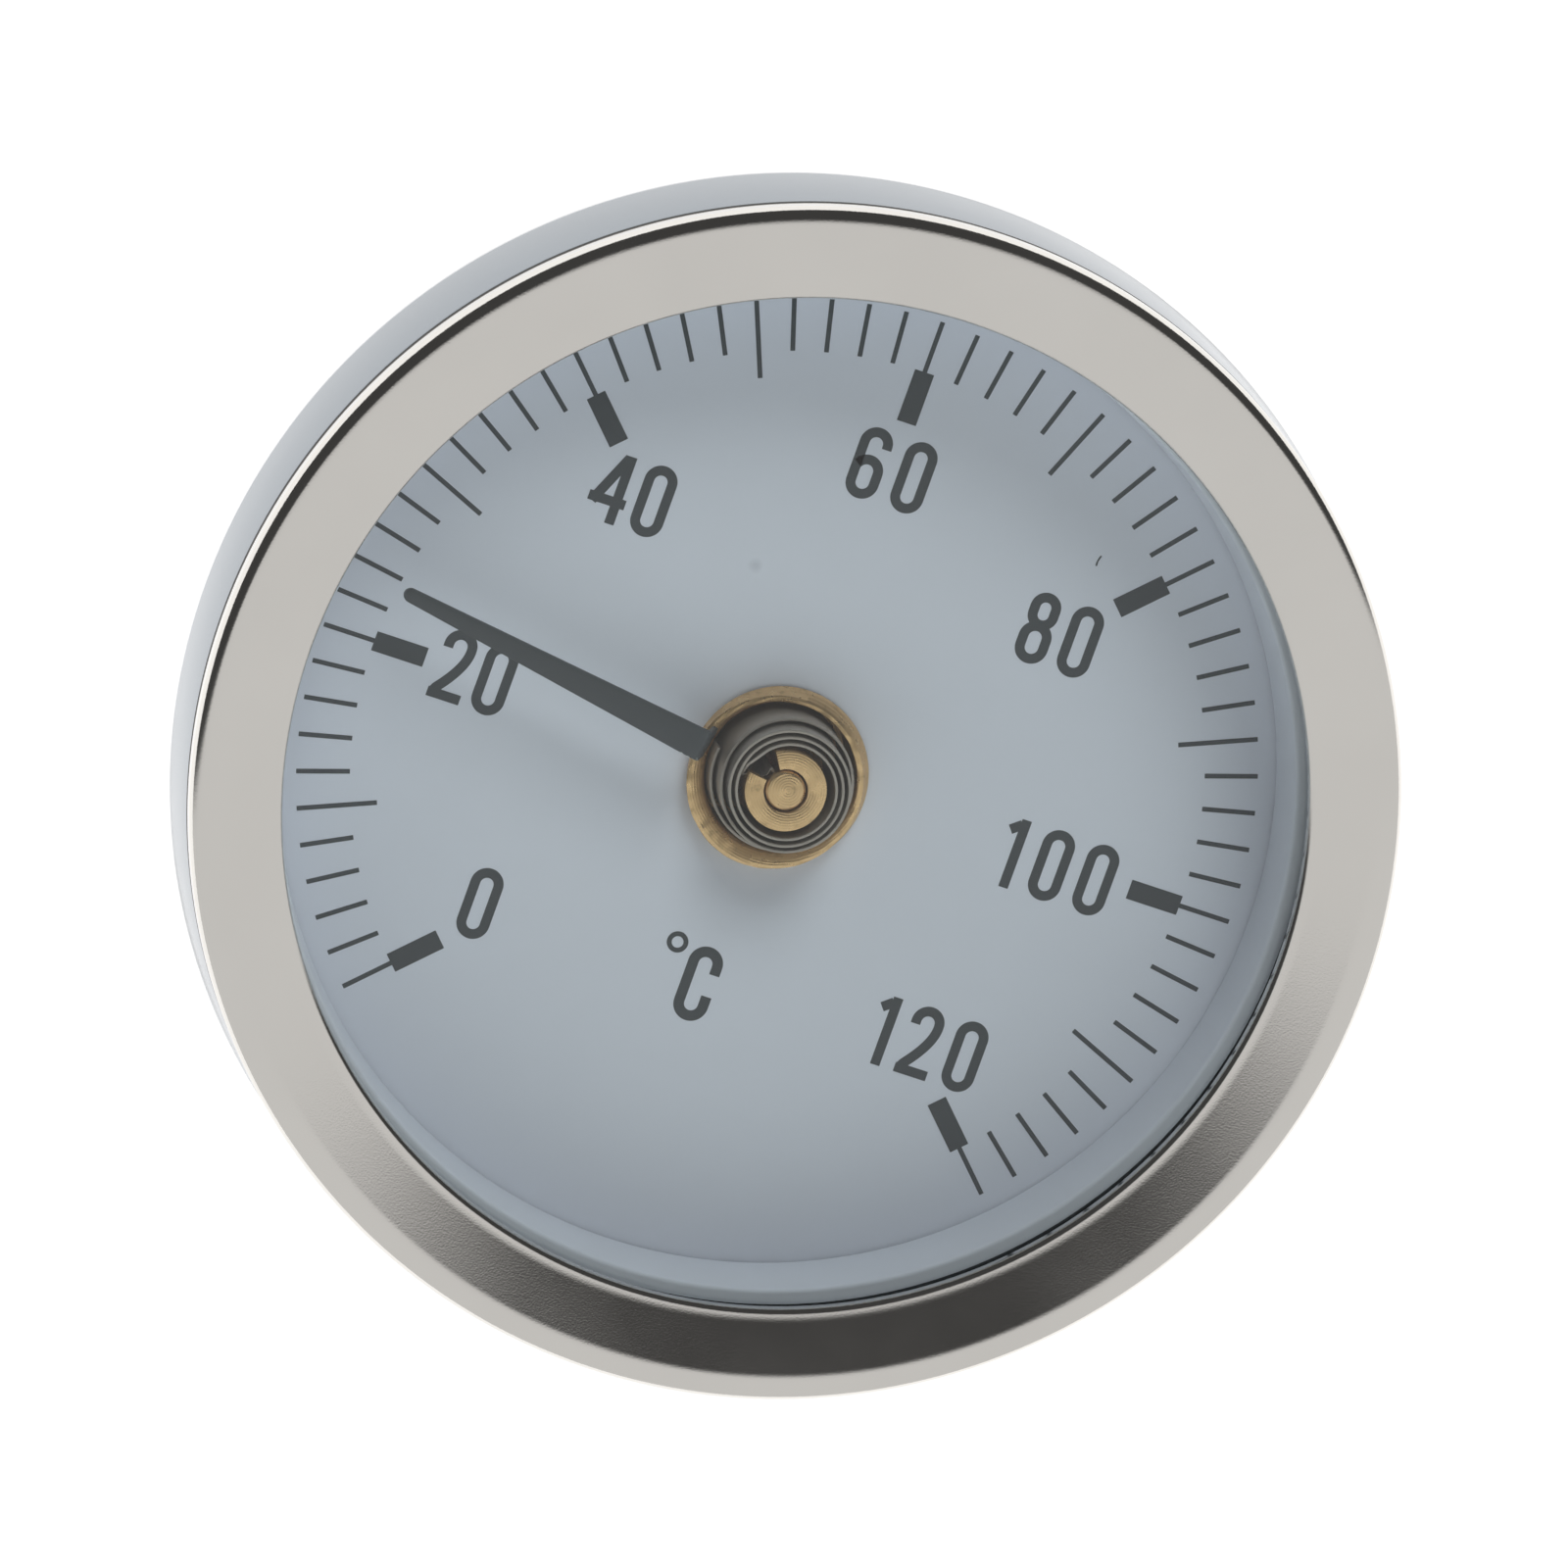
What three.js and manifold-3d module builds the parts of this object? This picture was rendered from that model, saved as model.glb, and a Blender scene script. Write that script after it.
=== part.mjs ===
// Clip-on dial thermometer, 0 to 120 degrees C, in millimetres.
//
// The dial faces +Z and its top, the 60 degree mark, points along +Y. The origin is the middle
// of the flat brass face that touches the pipe, so everything behind it has a negative z. The
// pipe lies along Y and the tension spring that holds it crosses behind along X.

import * as THREE from 'three';
import { mergeVertices } from 'three/addons/utils/BufferGeometryUtils.js';
import Module from 'manifold-3d';

const wasm = await Module();
wasm.setup();

// ---------------------------------------------------------------- driving dimensions

// clearances
const SEAT_GAP = 0.1; // between pieces that rest on or slide into each other
const RUN_GAP = 0.3; // round pieces that move past each other

// case and bezel
const CASE_RADIUS = 31.77; // widest, at the foot of the wall
const CASE_TAPER = 0.47; // how much narrower the wall is at its mouth
const CASE_SHEET = 0.5;
const CASE_CORNER_RADIUS = 3;
const NECK_STEP = 0.4; // the neck that the bezel is pressed on to is this much smaller
const BEZEL_SHEET = 0.5;
const BEZEL_FACE_WIDTH = 4.85; // from the opening to the outside
const BEZEL_SHOULDER_RADIUS = 1.1;
const BEZEL_LIP_RADIUS = 0.5;
const BEZEL_DISH = 0.45; // how far the face drops from its shoulder to its lip
const BEZEL_SKIRT_HEIGHT = 0.85; // straight part below the shoulder
const SKIRT_GAP = 0.45; // open groove between the skirt and the case's step

// window stack
const DIAL_SHEET = 0.5;
const WINDOW_ROOM = 0.6; // the spacer stands this much higher than the movement
const SPACER_SHOW = 0.55; // how far the spacer's foot shows inside the opening
const SPACER_FLARE = 0.3; // how much wider the spacer is at its top
const GASKET_WIDTH = 3;
const GASKET_HEIGHT = 0.6;
const WINDOW_THICKNESS = 1.6;

// brass contact cup
const SHANK_WALL = 1.55; // round the bore that holds the movement
const CUP_WALL = 0.35; // of the thin tube that stands up through the dial
const CUP_FLOOR = 1.6; // thickness of the solid end
const CUP_FLANGE_WIDTH = 3;
const CUP_FLANGE_HEIGHT = 1.4; // sets the dial's height above the case floor
const RIM_OVERHANG = 0.45; // how far the rolled rim reaches over the dial
const RIM_HEIGHT = 0.85;
const RING_GROOVE_DEPTH = 0.7;

// snap ring that holds the cup and saddle to the case
const SNAP_RING_SHEET = 0.6;
const SNAP_RING_WIDTH = 2; // how far it stands out of its groove
const SNAP_RING_MOUTH = 5; // width of its opening
const SNAP_RING_SETBACK = 0.8; // from the contact face

// movement
const PIN_RADIUS = 1.04;
const PIN_SOCKET_DEPTH = 0.9;
const COLLAR_RADIUS = 2.15;
const COLLAR_LENGTH = 5.5;
const SLOT_ANGLE = 147; // direction of the collar's slot, degrees
const SLOT_SPREAD = 46; // its opening angle, degrees
const MOVEMENT_HEIGHT = 4.2; // collar and pin stand this far above the dial
const STRIP_THICKNESS = 0.15;
const STRIP_PITCH = 0.35;
const STRIP_TURNS = 4;
const STRIP_SAG = 2.4; // the outer turns step down towards the dial by this much
const STRIP_SAG_TURNS = 1.6; // over this many turns
const STRIP_TAIL_RADIUS = 1.4; // the inner end reaches this close to the axis

// pointer
const SCALE_START_ANGLE = 225; // direction of the 0 degree mark
const SCALE_STEP = 2.25; // degrees of arc per degree C
const READING = 24; // what the pointer shows at rest, degrees C
const POINTER_SHEET = 0.3;
const POINTER_HUB_WIDTH = 1.7;
const POINTER_TIP_WIDTH = 0.75;
const POINTER_TIP_GAP = 3.4; // from the tip to the spacer ring
const POINTER_FOOT_REACH = 1.45; // from the spiral to where the foot bends up into the blade
const POINTER_SETBACK = 0.2; // blade's face below the top of the movement
const FOOT_RISE = 1.3; // foot's lower end above the dial

// saddle
const SADDLE_SHEET = 1;
const SADDLE_LENGTH = 46;
const SADDLE_SIDE_ROOM = 0.5; // between the snap ring and the side walls
const SADDLE_DEPTH = 8.5; // feet below the contact face
const SADDLE_BEND_RADIUS = 1.6;
const NOTCH_TOP_WIDTH = 10;
const NOTCH_MOUTH_WIDTH = 33;
const NOTCH_HEADROOM = 0.8; // top of the notch above the contact face
const TAB_WIDTH = 10;
const TAB_LIFT = 0.4; // the end tabs stop this far above the feet
const TAB_CORNER_RADIUS = 1.5;
const RIVET_SPACING = 30;
const RIVET_RADIUS = 1.5;
const RIVET_HEAD_RADIUS = 2.6;
const RIVET_HEAD_HEIGHT = 0.8;

// spring and pull ring
const SPRING_WIRE = 0.8;
const SPRING_MEAN_RADIUS = 1.9;
const SPRING_PITCH = 1.55;
const SPRING_END_GAP = 5; // from the tabs to the last full turn
const SPRING_AXIS_DEPTH = 5.2; // below the contact face
const RING_WIRE = 1.2;
const RING_WIDTH = 10;
const RING_LENGTH = 6.9;
const RING_CORNER_RADIUS = 1.2;
const ANCHOR_DROP = 2; // length of the bent end beyond the fixed tab

// ---------------------------------------------------------------- levels and fits

const snapRingBottom = SNAP_RING_SETBACK;
const snapRingTop = snapRingBottom + SNAP_RING_SHEET;
const saddleBottom = snapRingTop + SEAT_GAP;
const saddleTop = saddleBottom + SADDLE_SHEET;
const caseBack = saddleTop + SEAT_GAP;
const caseFloor = caseBack + CASE_SHEET;
const flangeBottom = caseFloor + SEAT_GAP;
const flangeTop = flangeBottom + CUP_FLANGE_HEIGHT;
const dialBottom = flangeTop + SEAT_GAP;
const dialTop = dialBottom + DIAL_SHEET;
const movementTop = dialTop + MOVEMENT_HEIGHT;
const stripTop = movementTop - SEAT_GAP;
const stripBottom = CUP_FLOOR + SEAT_GAP + STRIP_SAG;
const spacerBottom = dialTop + SEAT_GAP;
const spacerTop = spacerBottom + MOVEMENT_HEIGHT + WINDOW_ROOM;
const gasketBottom = spacerTop + SEAT_GAP;
const gasketTop = gasketBottom + GASKET_HEIGHT;
const windowBottom = gasketTop + SEAT_GAP;
const windowTop = windowBottom + WINDOW_THICKNESS;
const lipBottom = windowTop + SEAT_GAP;
const lipTop = lipBottom + BEZEL_LIP_RADIUS + BEZEL_SHEET / 2;
const shoulderZ = lipTop + BEZEL_DISH - BEZEL_SHOULDER_RADIUS;
const skirtBottom = shoulderZ - BEZEL_SKIRT_HEIGHT;
const caseStep = skirtBottom - SKIRT_GAP;

const mouthRadius = CASE_RADIUS - CASE_TAPER;
const neckRadius = mouthRadius - NECK_STEP;
const neckBore = neckRadius - CASE_SHEET;
const skirtBore = neckRadius + SEAT_GAP;
const bezelRadius = skirtBore + BEZEL_SHEET;
const openingRadius = bezelRadius - BEZEL_FACE_WIDTH;
const windowRadius = neckBore - SEAT_GAP;
const spacerFootRadius = openingRadius - SPACER_SHOW;
const dialRadius = neckBore - SEAT_GAP;

const pointerAngle = SCALE_START_ANGLE - SCALE_STEP * READING;
const stripSweep = 360 * STRIP_TURNS - (pointerAngle - SLOT_ANGLE);
const stripStartRadius = COLLAR_RADIUS + SEAT_GAP + STRIP_THICKNESS;
const stripEndRadius = stripStartRadius + (STRIP_PITCH * stripSweep) / 360 + STRIP_THICKNESS / 2;
const cupBore = stripEndRadius + SEAT_GAP;
const tubeRadius = cupBore + CUP_WALL;
const dialHoleRadius = tubeRadius + SEAT_GAP;
const shankRadius = cupBore + SHANK_WALL;
const shankHoleRadius = shankRadius + SEAT_GAP;
const grooveRadius = shankRadius - RING_GROOVE_DEPTH;
const snapRingRadius = shankRadius + SNAP_RING_WIDTH;
const pointerHubRadius = stripEndRadius + POINTER_FOOT_REACH;
const saddleHalfWidth = snapRingRadius + SADDLE_SIDE_ROOM + SADDLE_SHEET;
const rivetHoleRadius = RIVET_RADIUS + SEAT_GAP;
const tabFaceX = SADDLE_LENGTH / 2;
const springAxisZ = -SPRING_AXIS_DEPTH;
const springOuterRadius = SPRING_MEAN_RADIUS + SPRING_WIRE / 2;
const ringBarX = tabFaceX + RUN_GAP + RING_WIRE / 2;

const RING_SEGMENTS = 64; // round the case and everything of its size
const HUB_SEGMENTS = 40; // round the brass pieces
const SMALL_SEGMENTS = 20; // round rivets and holes
const CUT_PAST = 1; // cutting shapes run this far beyond what they cut

// ---------------------------------------------------------------- shape helpers

const toRadians = THREE.MathUtils.degToRad;

// Points along an arc of the profile plane, angles in degrees.
function arc(centreR, centreZ, radius, from, to, steps) {
  const points = [];
  for (let i = 0; i <= steps; i += 1) {
    const angle = toRadians(from + ((to - from) * i) / steps);
    points.push([centreR + radius * Math.cos(angle), centreZ + radius * Math.sin(angle)]);
  }
  return points;
}

// A solid of revolution about Z; the profile runs anticlockwise in the (r, z) plane.
function turned(profile, segments) {
  const points = profile.map(([r, z]) => new THREE.Vector2(r, z));
  const onAxis = profile[0][0] === 0;
  if (!onAxis) {
    points.push(points[0].clone());
  }
  return new THREE.LatheGeometry(points, segments).rotateX(Math.PI / 2);
}

// A flat-ended prism on a shape in the XY plane, from z = bottom to z = top.
function prism(shape, bottom, top, curveSegments = 8) {
  const settings = { depth: top - bottom, bevelEnabled: false, curveSegments };
  return new THREE.ExtrudeGeometry(shape, settings).translate(0, 0, bottom);
}

function shapeFrom(points) {
  return new THREE.Shape(points.map(([x, y]) => new THREE.Vector2(x, y)));
}

// An upright cylinder from z = bottom to z = top at (x, y).
function rod(radius, bottom, top, x, y, segments) {
  const length = top - bottom;
  const geometry = new THREE.CylinderGeometry(radius, radius, length, segments);
  return geometry.rotateX(Math.PI / 2).translate(x, y, bottom + length / 2);
}

function solidOf(geometry) {
  const bare = geometry.clone();
  bare.deleteAttribute('normal');
  bare.deleteAttribute('uv');
  const merged = mergeVertices(bare, 1e-5);
  const numbers = {
    numProp: 3,
    vertProperties: new Float32Array(merged.attributes.position.array),
    triVerts: new Uint32Array(merged.index.array),
  };
  return new wasm.Manifold(new wasm.Mesh(numbers));
}

function geometryOf(solid) {
  const mesh = solid.getMesh();
  const geometry = new THREE.BufferGeometry();
  geometry.setAttribute('position', new THREE.BufferAttribute(mesh.vertProperties, 3));
  geometry.setIndex(new THREE.BufferAttribute(mesh.triVerts, 1));
  geometry.computeVertexNormals();
  return geometry;
}

function cut(geometry, ...cutters) {
  let solid = solidOf(geometry);
  for (const cutter of cutters) {
    solid = solid.subtract(solidOf(cutter));
  }
  return geometryOf(solid);
}

function join(geometry, ...others) {
  let solid = solidOf(geometry);
  for (const other of others) {
    solid = solid.add(solidOf(other));
  }
  return geometryOf(solid);
}

// A round wire along a curve.
function wire(curve, diameter, steps) {
  const section = new THREE.Shape();
  section.absarc(0, 0, diameter / 2, 0, 2 * Math.PI, false);
  const settings = { steps, extrudePath: curve, curveSegments: 3, bevelEnabled: false };
  return new THREE.ExtrudeGeometry(section, settings);
}

const part = new THREE.Group();

// Adds one named sub-part with a material of its own.
function addPart(name, geometry, finish, parent = part) {
  const mesh = new THREE.Mesh(geometry, new THREE.MeshStandardMaterial(finish));
  mesh.name = name;
  parent.add(mesh);
}

const NICKEL = { color: 0xbebdb9, roughness: 0.32, metalness: 1 };
const ZINC = { color: 0xb9c0c4, roughness: 0.3, metalness: 1 };
const STEEL = { color: 0x9b9d9f, roughness: 0.35, metalness: 1 };
const BRASS = { color: 0xb99669, roughness: 0.4, metalness: 1 };
const STRIP = { color: 0x8a8478, roughness: 0.35, metalness: 1 };
const BLACK_PAINT = { color: 0x45484b, roughness: 0.6, metalness: 0 };
const DIAL_PAINT = { color: 0xdfe6ea, roughness: 0.6, metalness: 0 };
const WHITE_PLASTIC = { color: 0xdde8ee, roughness: 0.5, metalness: 0 };
const RUBBER = { color: 0x2a2b2c, roughness: 0.8, metalness: 0 };
const CLEAR = { color: 0xf4f8f8, roughness: 0.05, metalness: 0, transparent: true, opacity: 0.2 };

// ---------------------------------------------------------------- case and bezel

// Drawn cup: flat back, round corner, slightly tapered wall, and a neck for the bezel.
function caseShell() {
  const cornerZ = caseBack + CASE_CORNER_RADIUS;
  const cornerR = CASE_RADIUS - CASE_CORNER_RADIUS;
  const innerCorner = CASE_CORNER_RADIUS - CASE_SHEET;
  const neckTop = windowTop;
  const outside = [
    [shankHoleRadius, caseBack],
    ...arc(cornerR, cornerZ, CASE_CORNER_RADIUS, -90, 0, 6),
    [mouthRadius, caseStep - NECK_STEP],
    [neckRadius, caseStep],
    [neckRadius, neckTop],
  ];
  const inside = [
    [neckBore, neckTop],
    [neckBore, caseStep - CASE_SHEET],
    [mouthRadius - CASE_SHEET, caseStep - NECK_STEP - CASE_SHEET],
    ...arc(cornerR, cornerZ, innerCorner, 0, -90, 6),
    [shankHoleRadius, caseFloor],
  ];
  const shell = turned([...outside, ...inside], RING_SEGMENTS);
  const holes = [-1, 1].map((side) => {
    const x = (side * RIVET_SPACING) / 2;
    return rod(rivetHoleRadius, caseBack - CUT_PAST, caseFloor + CUT_PAST, x, 0, SMALL_SEGMENTS);
  });
  return cut(shell, ...holes);
}

// Pressed ring: rolled lip, slightly dished face, round shoulder, short skirt over the neck.
function bezelRing() {
  const lipR = openingRadius + BEZEL_LIP_RADIUS;
  const shoulderR = bezelRadius - BEZEL_SHOULDER_RADIUS;
  const innerShoulder = BEZEL_SHOULDER_RADIUS - BEZEL_SHEET;
  const profile = [
    [openingRadius, lipBottom],
    [lipR, lipBottom],
    ...arc(shoulderR, shoulderZ, innerShoulder, 90, 0, 4),
    [skirtBore, skirtBottom],
    [bezelRadius, skirtBottom],
    ...arc(shoulderR, shoulderZ, BEZEL_SHOULDER_RADIUS, 0, 90, 6),
    ...arc(lipR, lipTop - BEZEL_LIP_RADIUS, BEZEL_LIP_RADIUS, 90, 180, 4),
  ];
  return turned(profile, RING_SEGMENTS);
}

addPart('case_shell', caseShell(), ZINC);
addPart('bezel_ring', bezelRing(), NICKEL);

// ---------------------------------------------------------------- window stack

function ringProfile(inner, outer, bottom, top, topInner = inner) {
  return [[inner, bottom], [outer, bottom], [outer, top], [topInner, top]];
}

function dialPlate() {
  return turned(ringProfile(dialHoleRadius, dialRadius, dialBottom, dialTop), RING_SEGMENTS);
}

function spacerRing() {
  const topInner = spacerFootRadius + SPACER_FLARE;
  const profile = ringProfile(spacerFootRadius, windowRadius, spacerBottom, spacerTop, topInner);
  return turned(profile, RING_SEGMENTS);
}

function windowGasket() {
  const inner = windowRadius - GASKET_WIDTH;
  return turned(ringProfile(inner, windowRadius, gasketBottom, gasketTop), RING_SEGMENTS);
}

function windowGlass() {
  const profile = [[0, windowBottom], [windowRadius, windowBottom], [windowRadius, windowTop],
    [0, windowTop]];
  return turned(profile, RING_SEGMENTS);
}

addPart('dial_plate', dialPlate(), DIAL_PAINT);
addPart('spacer_ring', spacerRing(), WHITE_PLASTIC);
addPart('window_gasket', windowGasket(), RUBBER);
addPart('window_glass', windowGlass(), CLEAR);

// ---------------------------------------------------------------- brass contact cup

// Solid end that touches the pipe, grooved shank, flange on the case floor, and a thin tube
// whose rim is rolled over the dial.
function contactCup() {
  const grooveBottom = snapRingBottom - SEAT_GAP;
  const rimBottom = dialTop + SEAT_GAP;
  const rimOuter = tubeRadius + RIM_OVERHANG;
  const socketRadius = PIN_RADIUS + SEAT_GAP;
  const flangeRadius = shankRadius + CUP_FLANGE_WIDTH;
  const profile = [
    [0, 0],
    [shankRadius, 0],
    [shankRadius, grooveBottom],
    [grooveRadius, grooveBottom],
    [grooveRadius, saddleBottom],
    [shankRadius, saddleBottom],
    [shankRadius, flangeBottom],
    [flangeRadius, flangeBottom],
    [flangeRadius, flangeTop],
    [tubeRadius, flangeTop],
    [tubeRadius, rimBottom],
    [rimOuter, rimBottom],
    [rimOuter, rimBottom + RIM_HEIGHT * 0.2],
    [(rimOuter + cupBore) / 2, rimBottom + RIM_HEIGHT * 0.8],
    [cupBore, rimBottom + RIM_HEIGHT],
    [cupBore, CUP_FLOOR],
    [socketRadius, CUP_FLOOR],
    [socketRadius, CUP_FLOOR - PIN_SOCKET_DEPTH],
    [0, CUP_FLOOR - PIN_SOCKET_DEPTH],
  ];
  return turned(profile, HUB_SEGMENTS);
}

// Flat open ring in the shank's groove, below the saddle.
function snapRing() {
  const inner = grooveRadius + SEAT_GAP;
  const bottom = snapRingBottom;
  const ring = turned(ringProfile(inner, snapRingRadius, bottom, snapRingTop), HUB_SEGMENTS);
  const half = SNAP_RING_MOUTH / 2;
  const past = snapRingRadius + CUT_PAST;
  const mouth = shapeFrom([[0, -half], [past, -half], [past, half], [0, half]]);
  return cut(ring, prism(mouth, bottom - CUT_PAST, snapRingTop + CUT_PAST));
}

addPart('contact_cup', contactCup(), BRASS);
addPart('snap_ring', snapRing(), STEEL);

// ---------------------------------------------------------------- movement

function hubPin() {
  const bottom = CUP_FLOOR - PIN_SOCKET_DEPTH + SEAT_GAP;
  return rod(PIN_RADIUS, bottom, movementTop, 0, 0, SMALL_SEGMENTS);
}

// A C-shaped collar round the pin, open along its slot.
function hubCollar() {
  const half = SLOT_SPREAD / 2;
  const from = toRadians(SLOT_ANGLE + half);
  const to = toRadians(SLOT_ANGLE - half + 360);
  const shape = new THREE.Shape();
  shape.absarc(0, 0, COLLAR_RADIUS, from, to, false);
  shape.absarc(0, 0, PIN_RADIUS + SEAT_GAP, to, from, true);
  return prism(shape, movementTop - COLLAR_LENGTH, movementTop, SMALL_SEGMENTS);
}

// Thin strip on edge: a short tail in the collar's slot, then an even spiral that runs
// clockwise outwards to the pointer, whose outer turns step down.
function bimetalSpiral() {
  const stepsPerTurn = 40;
  const steps = Math.round((stripSweep / 360) * stepsPerTurn);
  const outer = [];
  const inner = [];
  for (let i = 0; i <= steps; i += 1) {
    const turn = (stripSweep / 360) * (i / steps);
    const angle = toRadians(SLOT_ANGLE) - 2 * Math.PI * turn;
    const radius = stripStartRadius + STRIP_PITCH * turn;
    const across = STRIP_THICKNESS / 2;
    outer.push([(radius + across) * Math.cos(angle), (radius + across) * Math.sin(angle)]);
    inner.push([(radius - across) * Math.cos(angle), (radius - across) * Math.sin(angle)]);
  }
  const slot = toRadians(SLOT_ANGLE);
  const side = new THREE.Vector2(-Math.sin(slot), Math.cos(slot)).multiplyScalar(STRIP_THICKNESS);
  const tailX = STRIP_TAIL_RADIUS * Math.cos(slot);
  const tailY = STRIP_TAIL_RADIUS * Math.sin(slot);
  const firstR = Math.hypot(...inner[0]);
  const cornerX = firstR * Math.cos(slot) + side.x;
  const cornerY = firstR * Math.sin(slot) + side.y;
  const outline = [
    ...outer,
    ...inner.slice(1).reverse(),
    inner[0],
    [tailX, tailY],
    [tailX + side.x, tailY + side.y],
    [cornerX, cornerY],
    [outer[0][0] + side.x, outer[0][1] + side.y],
  ];
  const geometry = prism(shapeFrom(outline), stripBottom, stripTop);
  const turns = stripSweep / 360;
  const position = geometry.attributes.position;
  for (let i = 0; i < position.count; i += 1) {
    const radius = Math.hypot(position.getX(i), position.getY(i));
    const turn = (radius - stripStartRadius) / STRIP_PITCH;
    const along = THREE.MathUtils.clamp(1 - (turns - turn) / STRIP_SAG_TURNS, 0, 1);
    position.setZ(i, position.getZ(i) - STRIP_SAG * along * along * (3 - 2 * along));
  }
  return geometry;
}

// Tapered blade with a round tip, and a foot that slopes down to the spiral's outer turn.
function pointer() {
  const tipRadius = spacerFootRadius - POINTER_TIP_GAP;
  const half = POINTER_HUB_WIDTH / 2;
  const tipHalf = POINTER_TIP_WIDTH / 2;
  const blade = new THREE.Shape();
  blade.moveTo(pointerHubRadius - POINTER_SHEET, -half);
  blade.lineTo(tipRadius - tipHalf, -tipHalf);
  blade.absarc(tipRadius - tipHalf, 0, tipHalf, -Math.PI / 2, Math.PI / 2, false);
  blade.lineTo(pointerHubRadius - POINTER_SHEET, half);
  const bottom = movementTop - POINTER_SETBACK - POINTER_SHEET;
  const footEnd = stripEndRadius + RUN_GAP / 2;
  const footTop = pointerHubRadius;
  const footShape = shapeFrom([
    [footEnd, dialTop + FOOT_RISE],
    [footEnd + POINTER_SHEET, dialTop + FOOT_RISE],
    [footTop, bottom],
    [footTop, bottom + POINTER_SHEET],
    [footTop - POINTER_SHEET, bottom + POINTER_SHEET],
  ]);
  const foot = prism(footShape, -half, half).rotateX(Math.PI / 2);
  return join(prism(blade, bottom, bottom + POINTER_SHEET, 6), foot);
}

addPart('hub_pin', hubPin(), BRASS);
addPart('hub_collar', hubCollar(), BRASS);
addPart('bimetal_spiral', bimetalSpiral(), STRIP);

const pointerMount = new THREE.Group();
pointerMount.rotation.z = toRadians(pointerAngle);
part.add(pointerMount);
addPart('pointer', pointer(), BLACK_PAINT, pointerMount);

// ---------------------------------------------------------------- saddle and rivets

// Cross-section of the channel in the (y, z) plane: a web with two side walls bent down.
function channelSection(bottom) {
  const outerHalf = saddleHalfWidth;
  const innerHalf = outerHalf - SADDLE_SHEET;
  const innerBend = SADDLE_BEND_RADIUS - SADDLE_SHEET;
  const bendZ = saddleTop - SADDLE_BEND_RADIUS;
  const bendY = outerHalf - SADDLE_BEND_RADIUS;
  return shapeFrom([
    [-outerHalf, bottom],
    [-innerHalf, bottom],
    ...arc(-bendY, bendZ, innerBend, 180, 90, 4),
    ...arc(bendY, bendZ, innerBend, 90, 0, 4),
    [innerHalf, bottom],
    [outerHalf, bottom],
    ...arc(bendY, bendZ, SADDLE_BEND_RADIUS, 0, 90, 4),
    ...arc(-bendY, bendZ, SADDLE_BEND_RADIUS, 90, 180, 4),
  ]);
}

// Turns a prism made along Z so that its shape's x runs along Y, its y along Z and its length
// along X.
function alongX(geometry) {
  return geometry.rotateZ(Math.PI / 2).rotateY(Math.PI / 2);
}

// End tab in the (y, z) plane: square, bent down from the web, with round lower corners.
function endTab(side, opening) {
  const half = TAB_WIDTH / 2;
  const bottom = -SADDLE_DEPTH + TAB_LIFT;
  const round = TAB_CORNER_RADIUS;
  const shape = shapeFrom([
    [-half, saddleTop],
    ...arc(-half + round, bottom + round, round, 180, 270, 4),
    ...arc(half - round, bottom + round, round, 270, 360, 4),
    [half, saddleTop],
  ]);
  if (opening instanceof THREE.Path) {
    shape.holes.push(opening);
  }
  const near = side > 0 ? tabFaceX - SADDLE_SHEET : -tabFaceX;
  return alongX(prism(shape, near, near + SADDLE_SHEET));
}

function pipeSaddle() {
  const wallHalf = SADDLE_LENGTH / 2 - SADDLE_SHEET;
  const channel = alongX(prism(channelSection(-SADDLE_DEPTH), -wallHalf, wallHalf));
  const past = saddleHalfWidth + CUT_PAST;
  const below = -SADDLE_DEPTH - CUT_PAST;
  const notchTop = NOTCH_HEADROOM;
  const slope = (NOTCH_MOUTH_WIDTH - NOTCH_TOP_WIDTH) / 2 / (SADDLE_DEPTH + notchTop);
  const mouthHalf = NOTCH_MOUTH_WIDTH / 2 + slope * CUT_PAST;
  const notchShape = shapeFrom([
    [-mouthHalf, below],
    [mouthHalf, below],
    [NOTCH_TOP_WIDTH / 2, notchTop],
    [-NOTCH_TOP_WIDTH / 2, notchTop],
  ]);
  const notch = prism(notchShape, -past, past).rotateX(Math.PI / 2);
  const webFrom = saddleBottom - CUT_PAST;
  const webTo = saddleTop + CUT_PAST;
  const shankHole = rod(shankHoleRadius, webFrom, webTo, 0, 0, HUB_SEGMENTS);
  const rivetHoles = [-1, 1].map((side) => {
    return rod(rivetHoleRadius, webFrom, webTo, (side * RIVET_SPACING) / 2, 0, SMALL_SEGMENTS);
  });
  const anchorHole = new THREE.Path();
  anchorHole.absarc(0, springAxisZ, SPRING_WIRE / 2 + RUN_GAP, 0, 2 * Math.PI, true);
  const slotHalf = springOuterRadius + 2 * RUN_GAP;
  const slotTop = springAxisZ + slotHalf;
  const slotShape = shapeFrom([
    [-slotHalf, below],
    [slotHalf, below],
    ...arc(0, slotTop - slotHalf, slotHalf, 0, 180, 8),
  ]);
  const slot = alongX(prism(slotShape, tabFaceX - 2 * SADDLE_SHEET, tabFaceX + SADDLE_SHEET));
  const webNeck = new THREE.BoxGeometry(2 * SADDLE_SHEET, TAB_WIDTH, SADDLE_SHEET);
  const webZ = saddleBottom + SADDLE_SHEET / 2;
  const freeNeck = webNeck.clone().translate(wallHalf, 0, webZ);
  const fixedNeck = webNeck.clone().translate(-wallHalf, 0, webZ);
  const holed = cut(channel, notch, shankHole, ...rivetHoles);
  const tabs = [endTab(1, null), endTab(-1, anchorHole)];
  return cut(join(holed, ...tabs, freeNeck, fixedNeck), slot);
}

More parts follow.
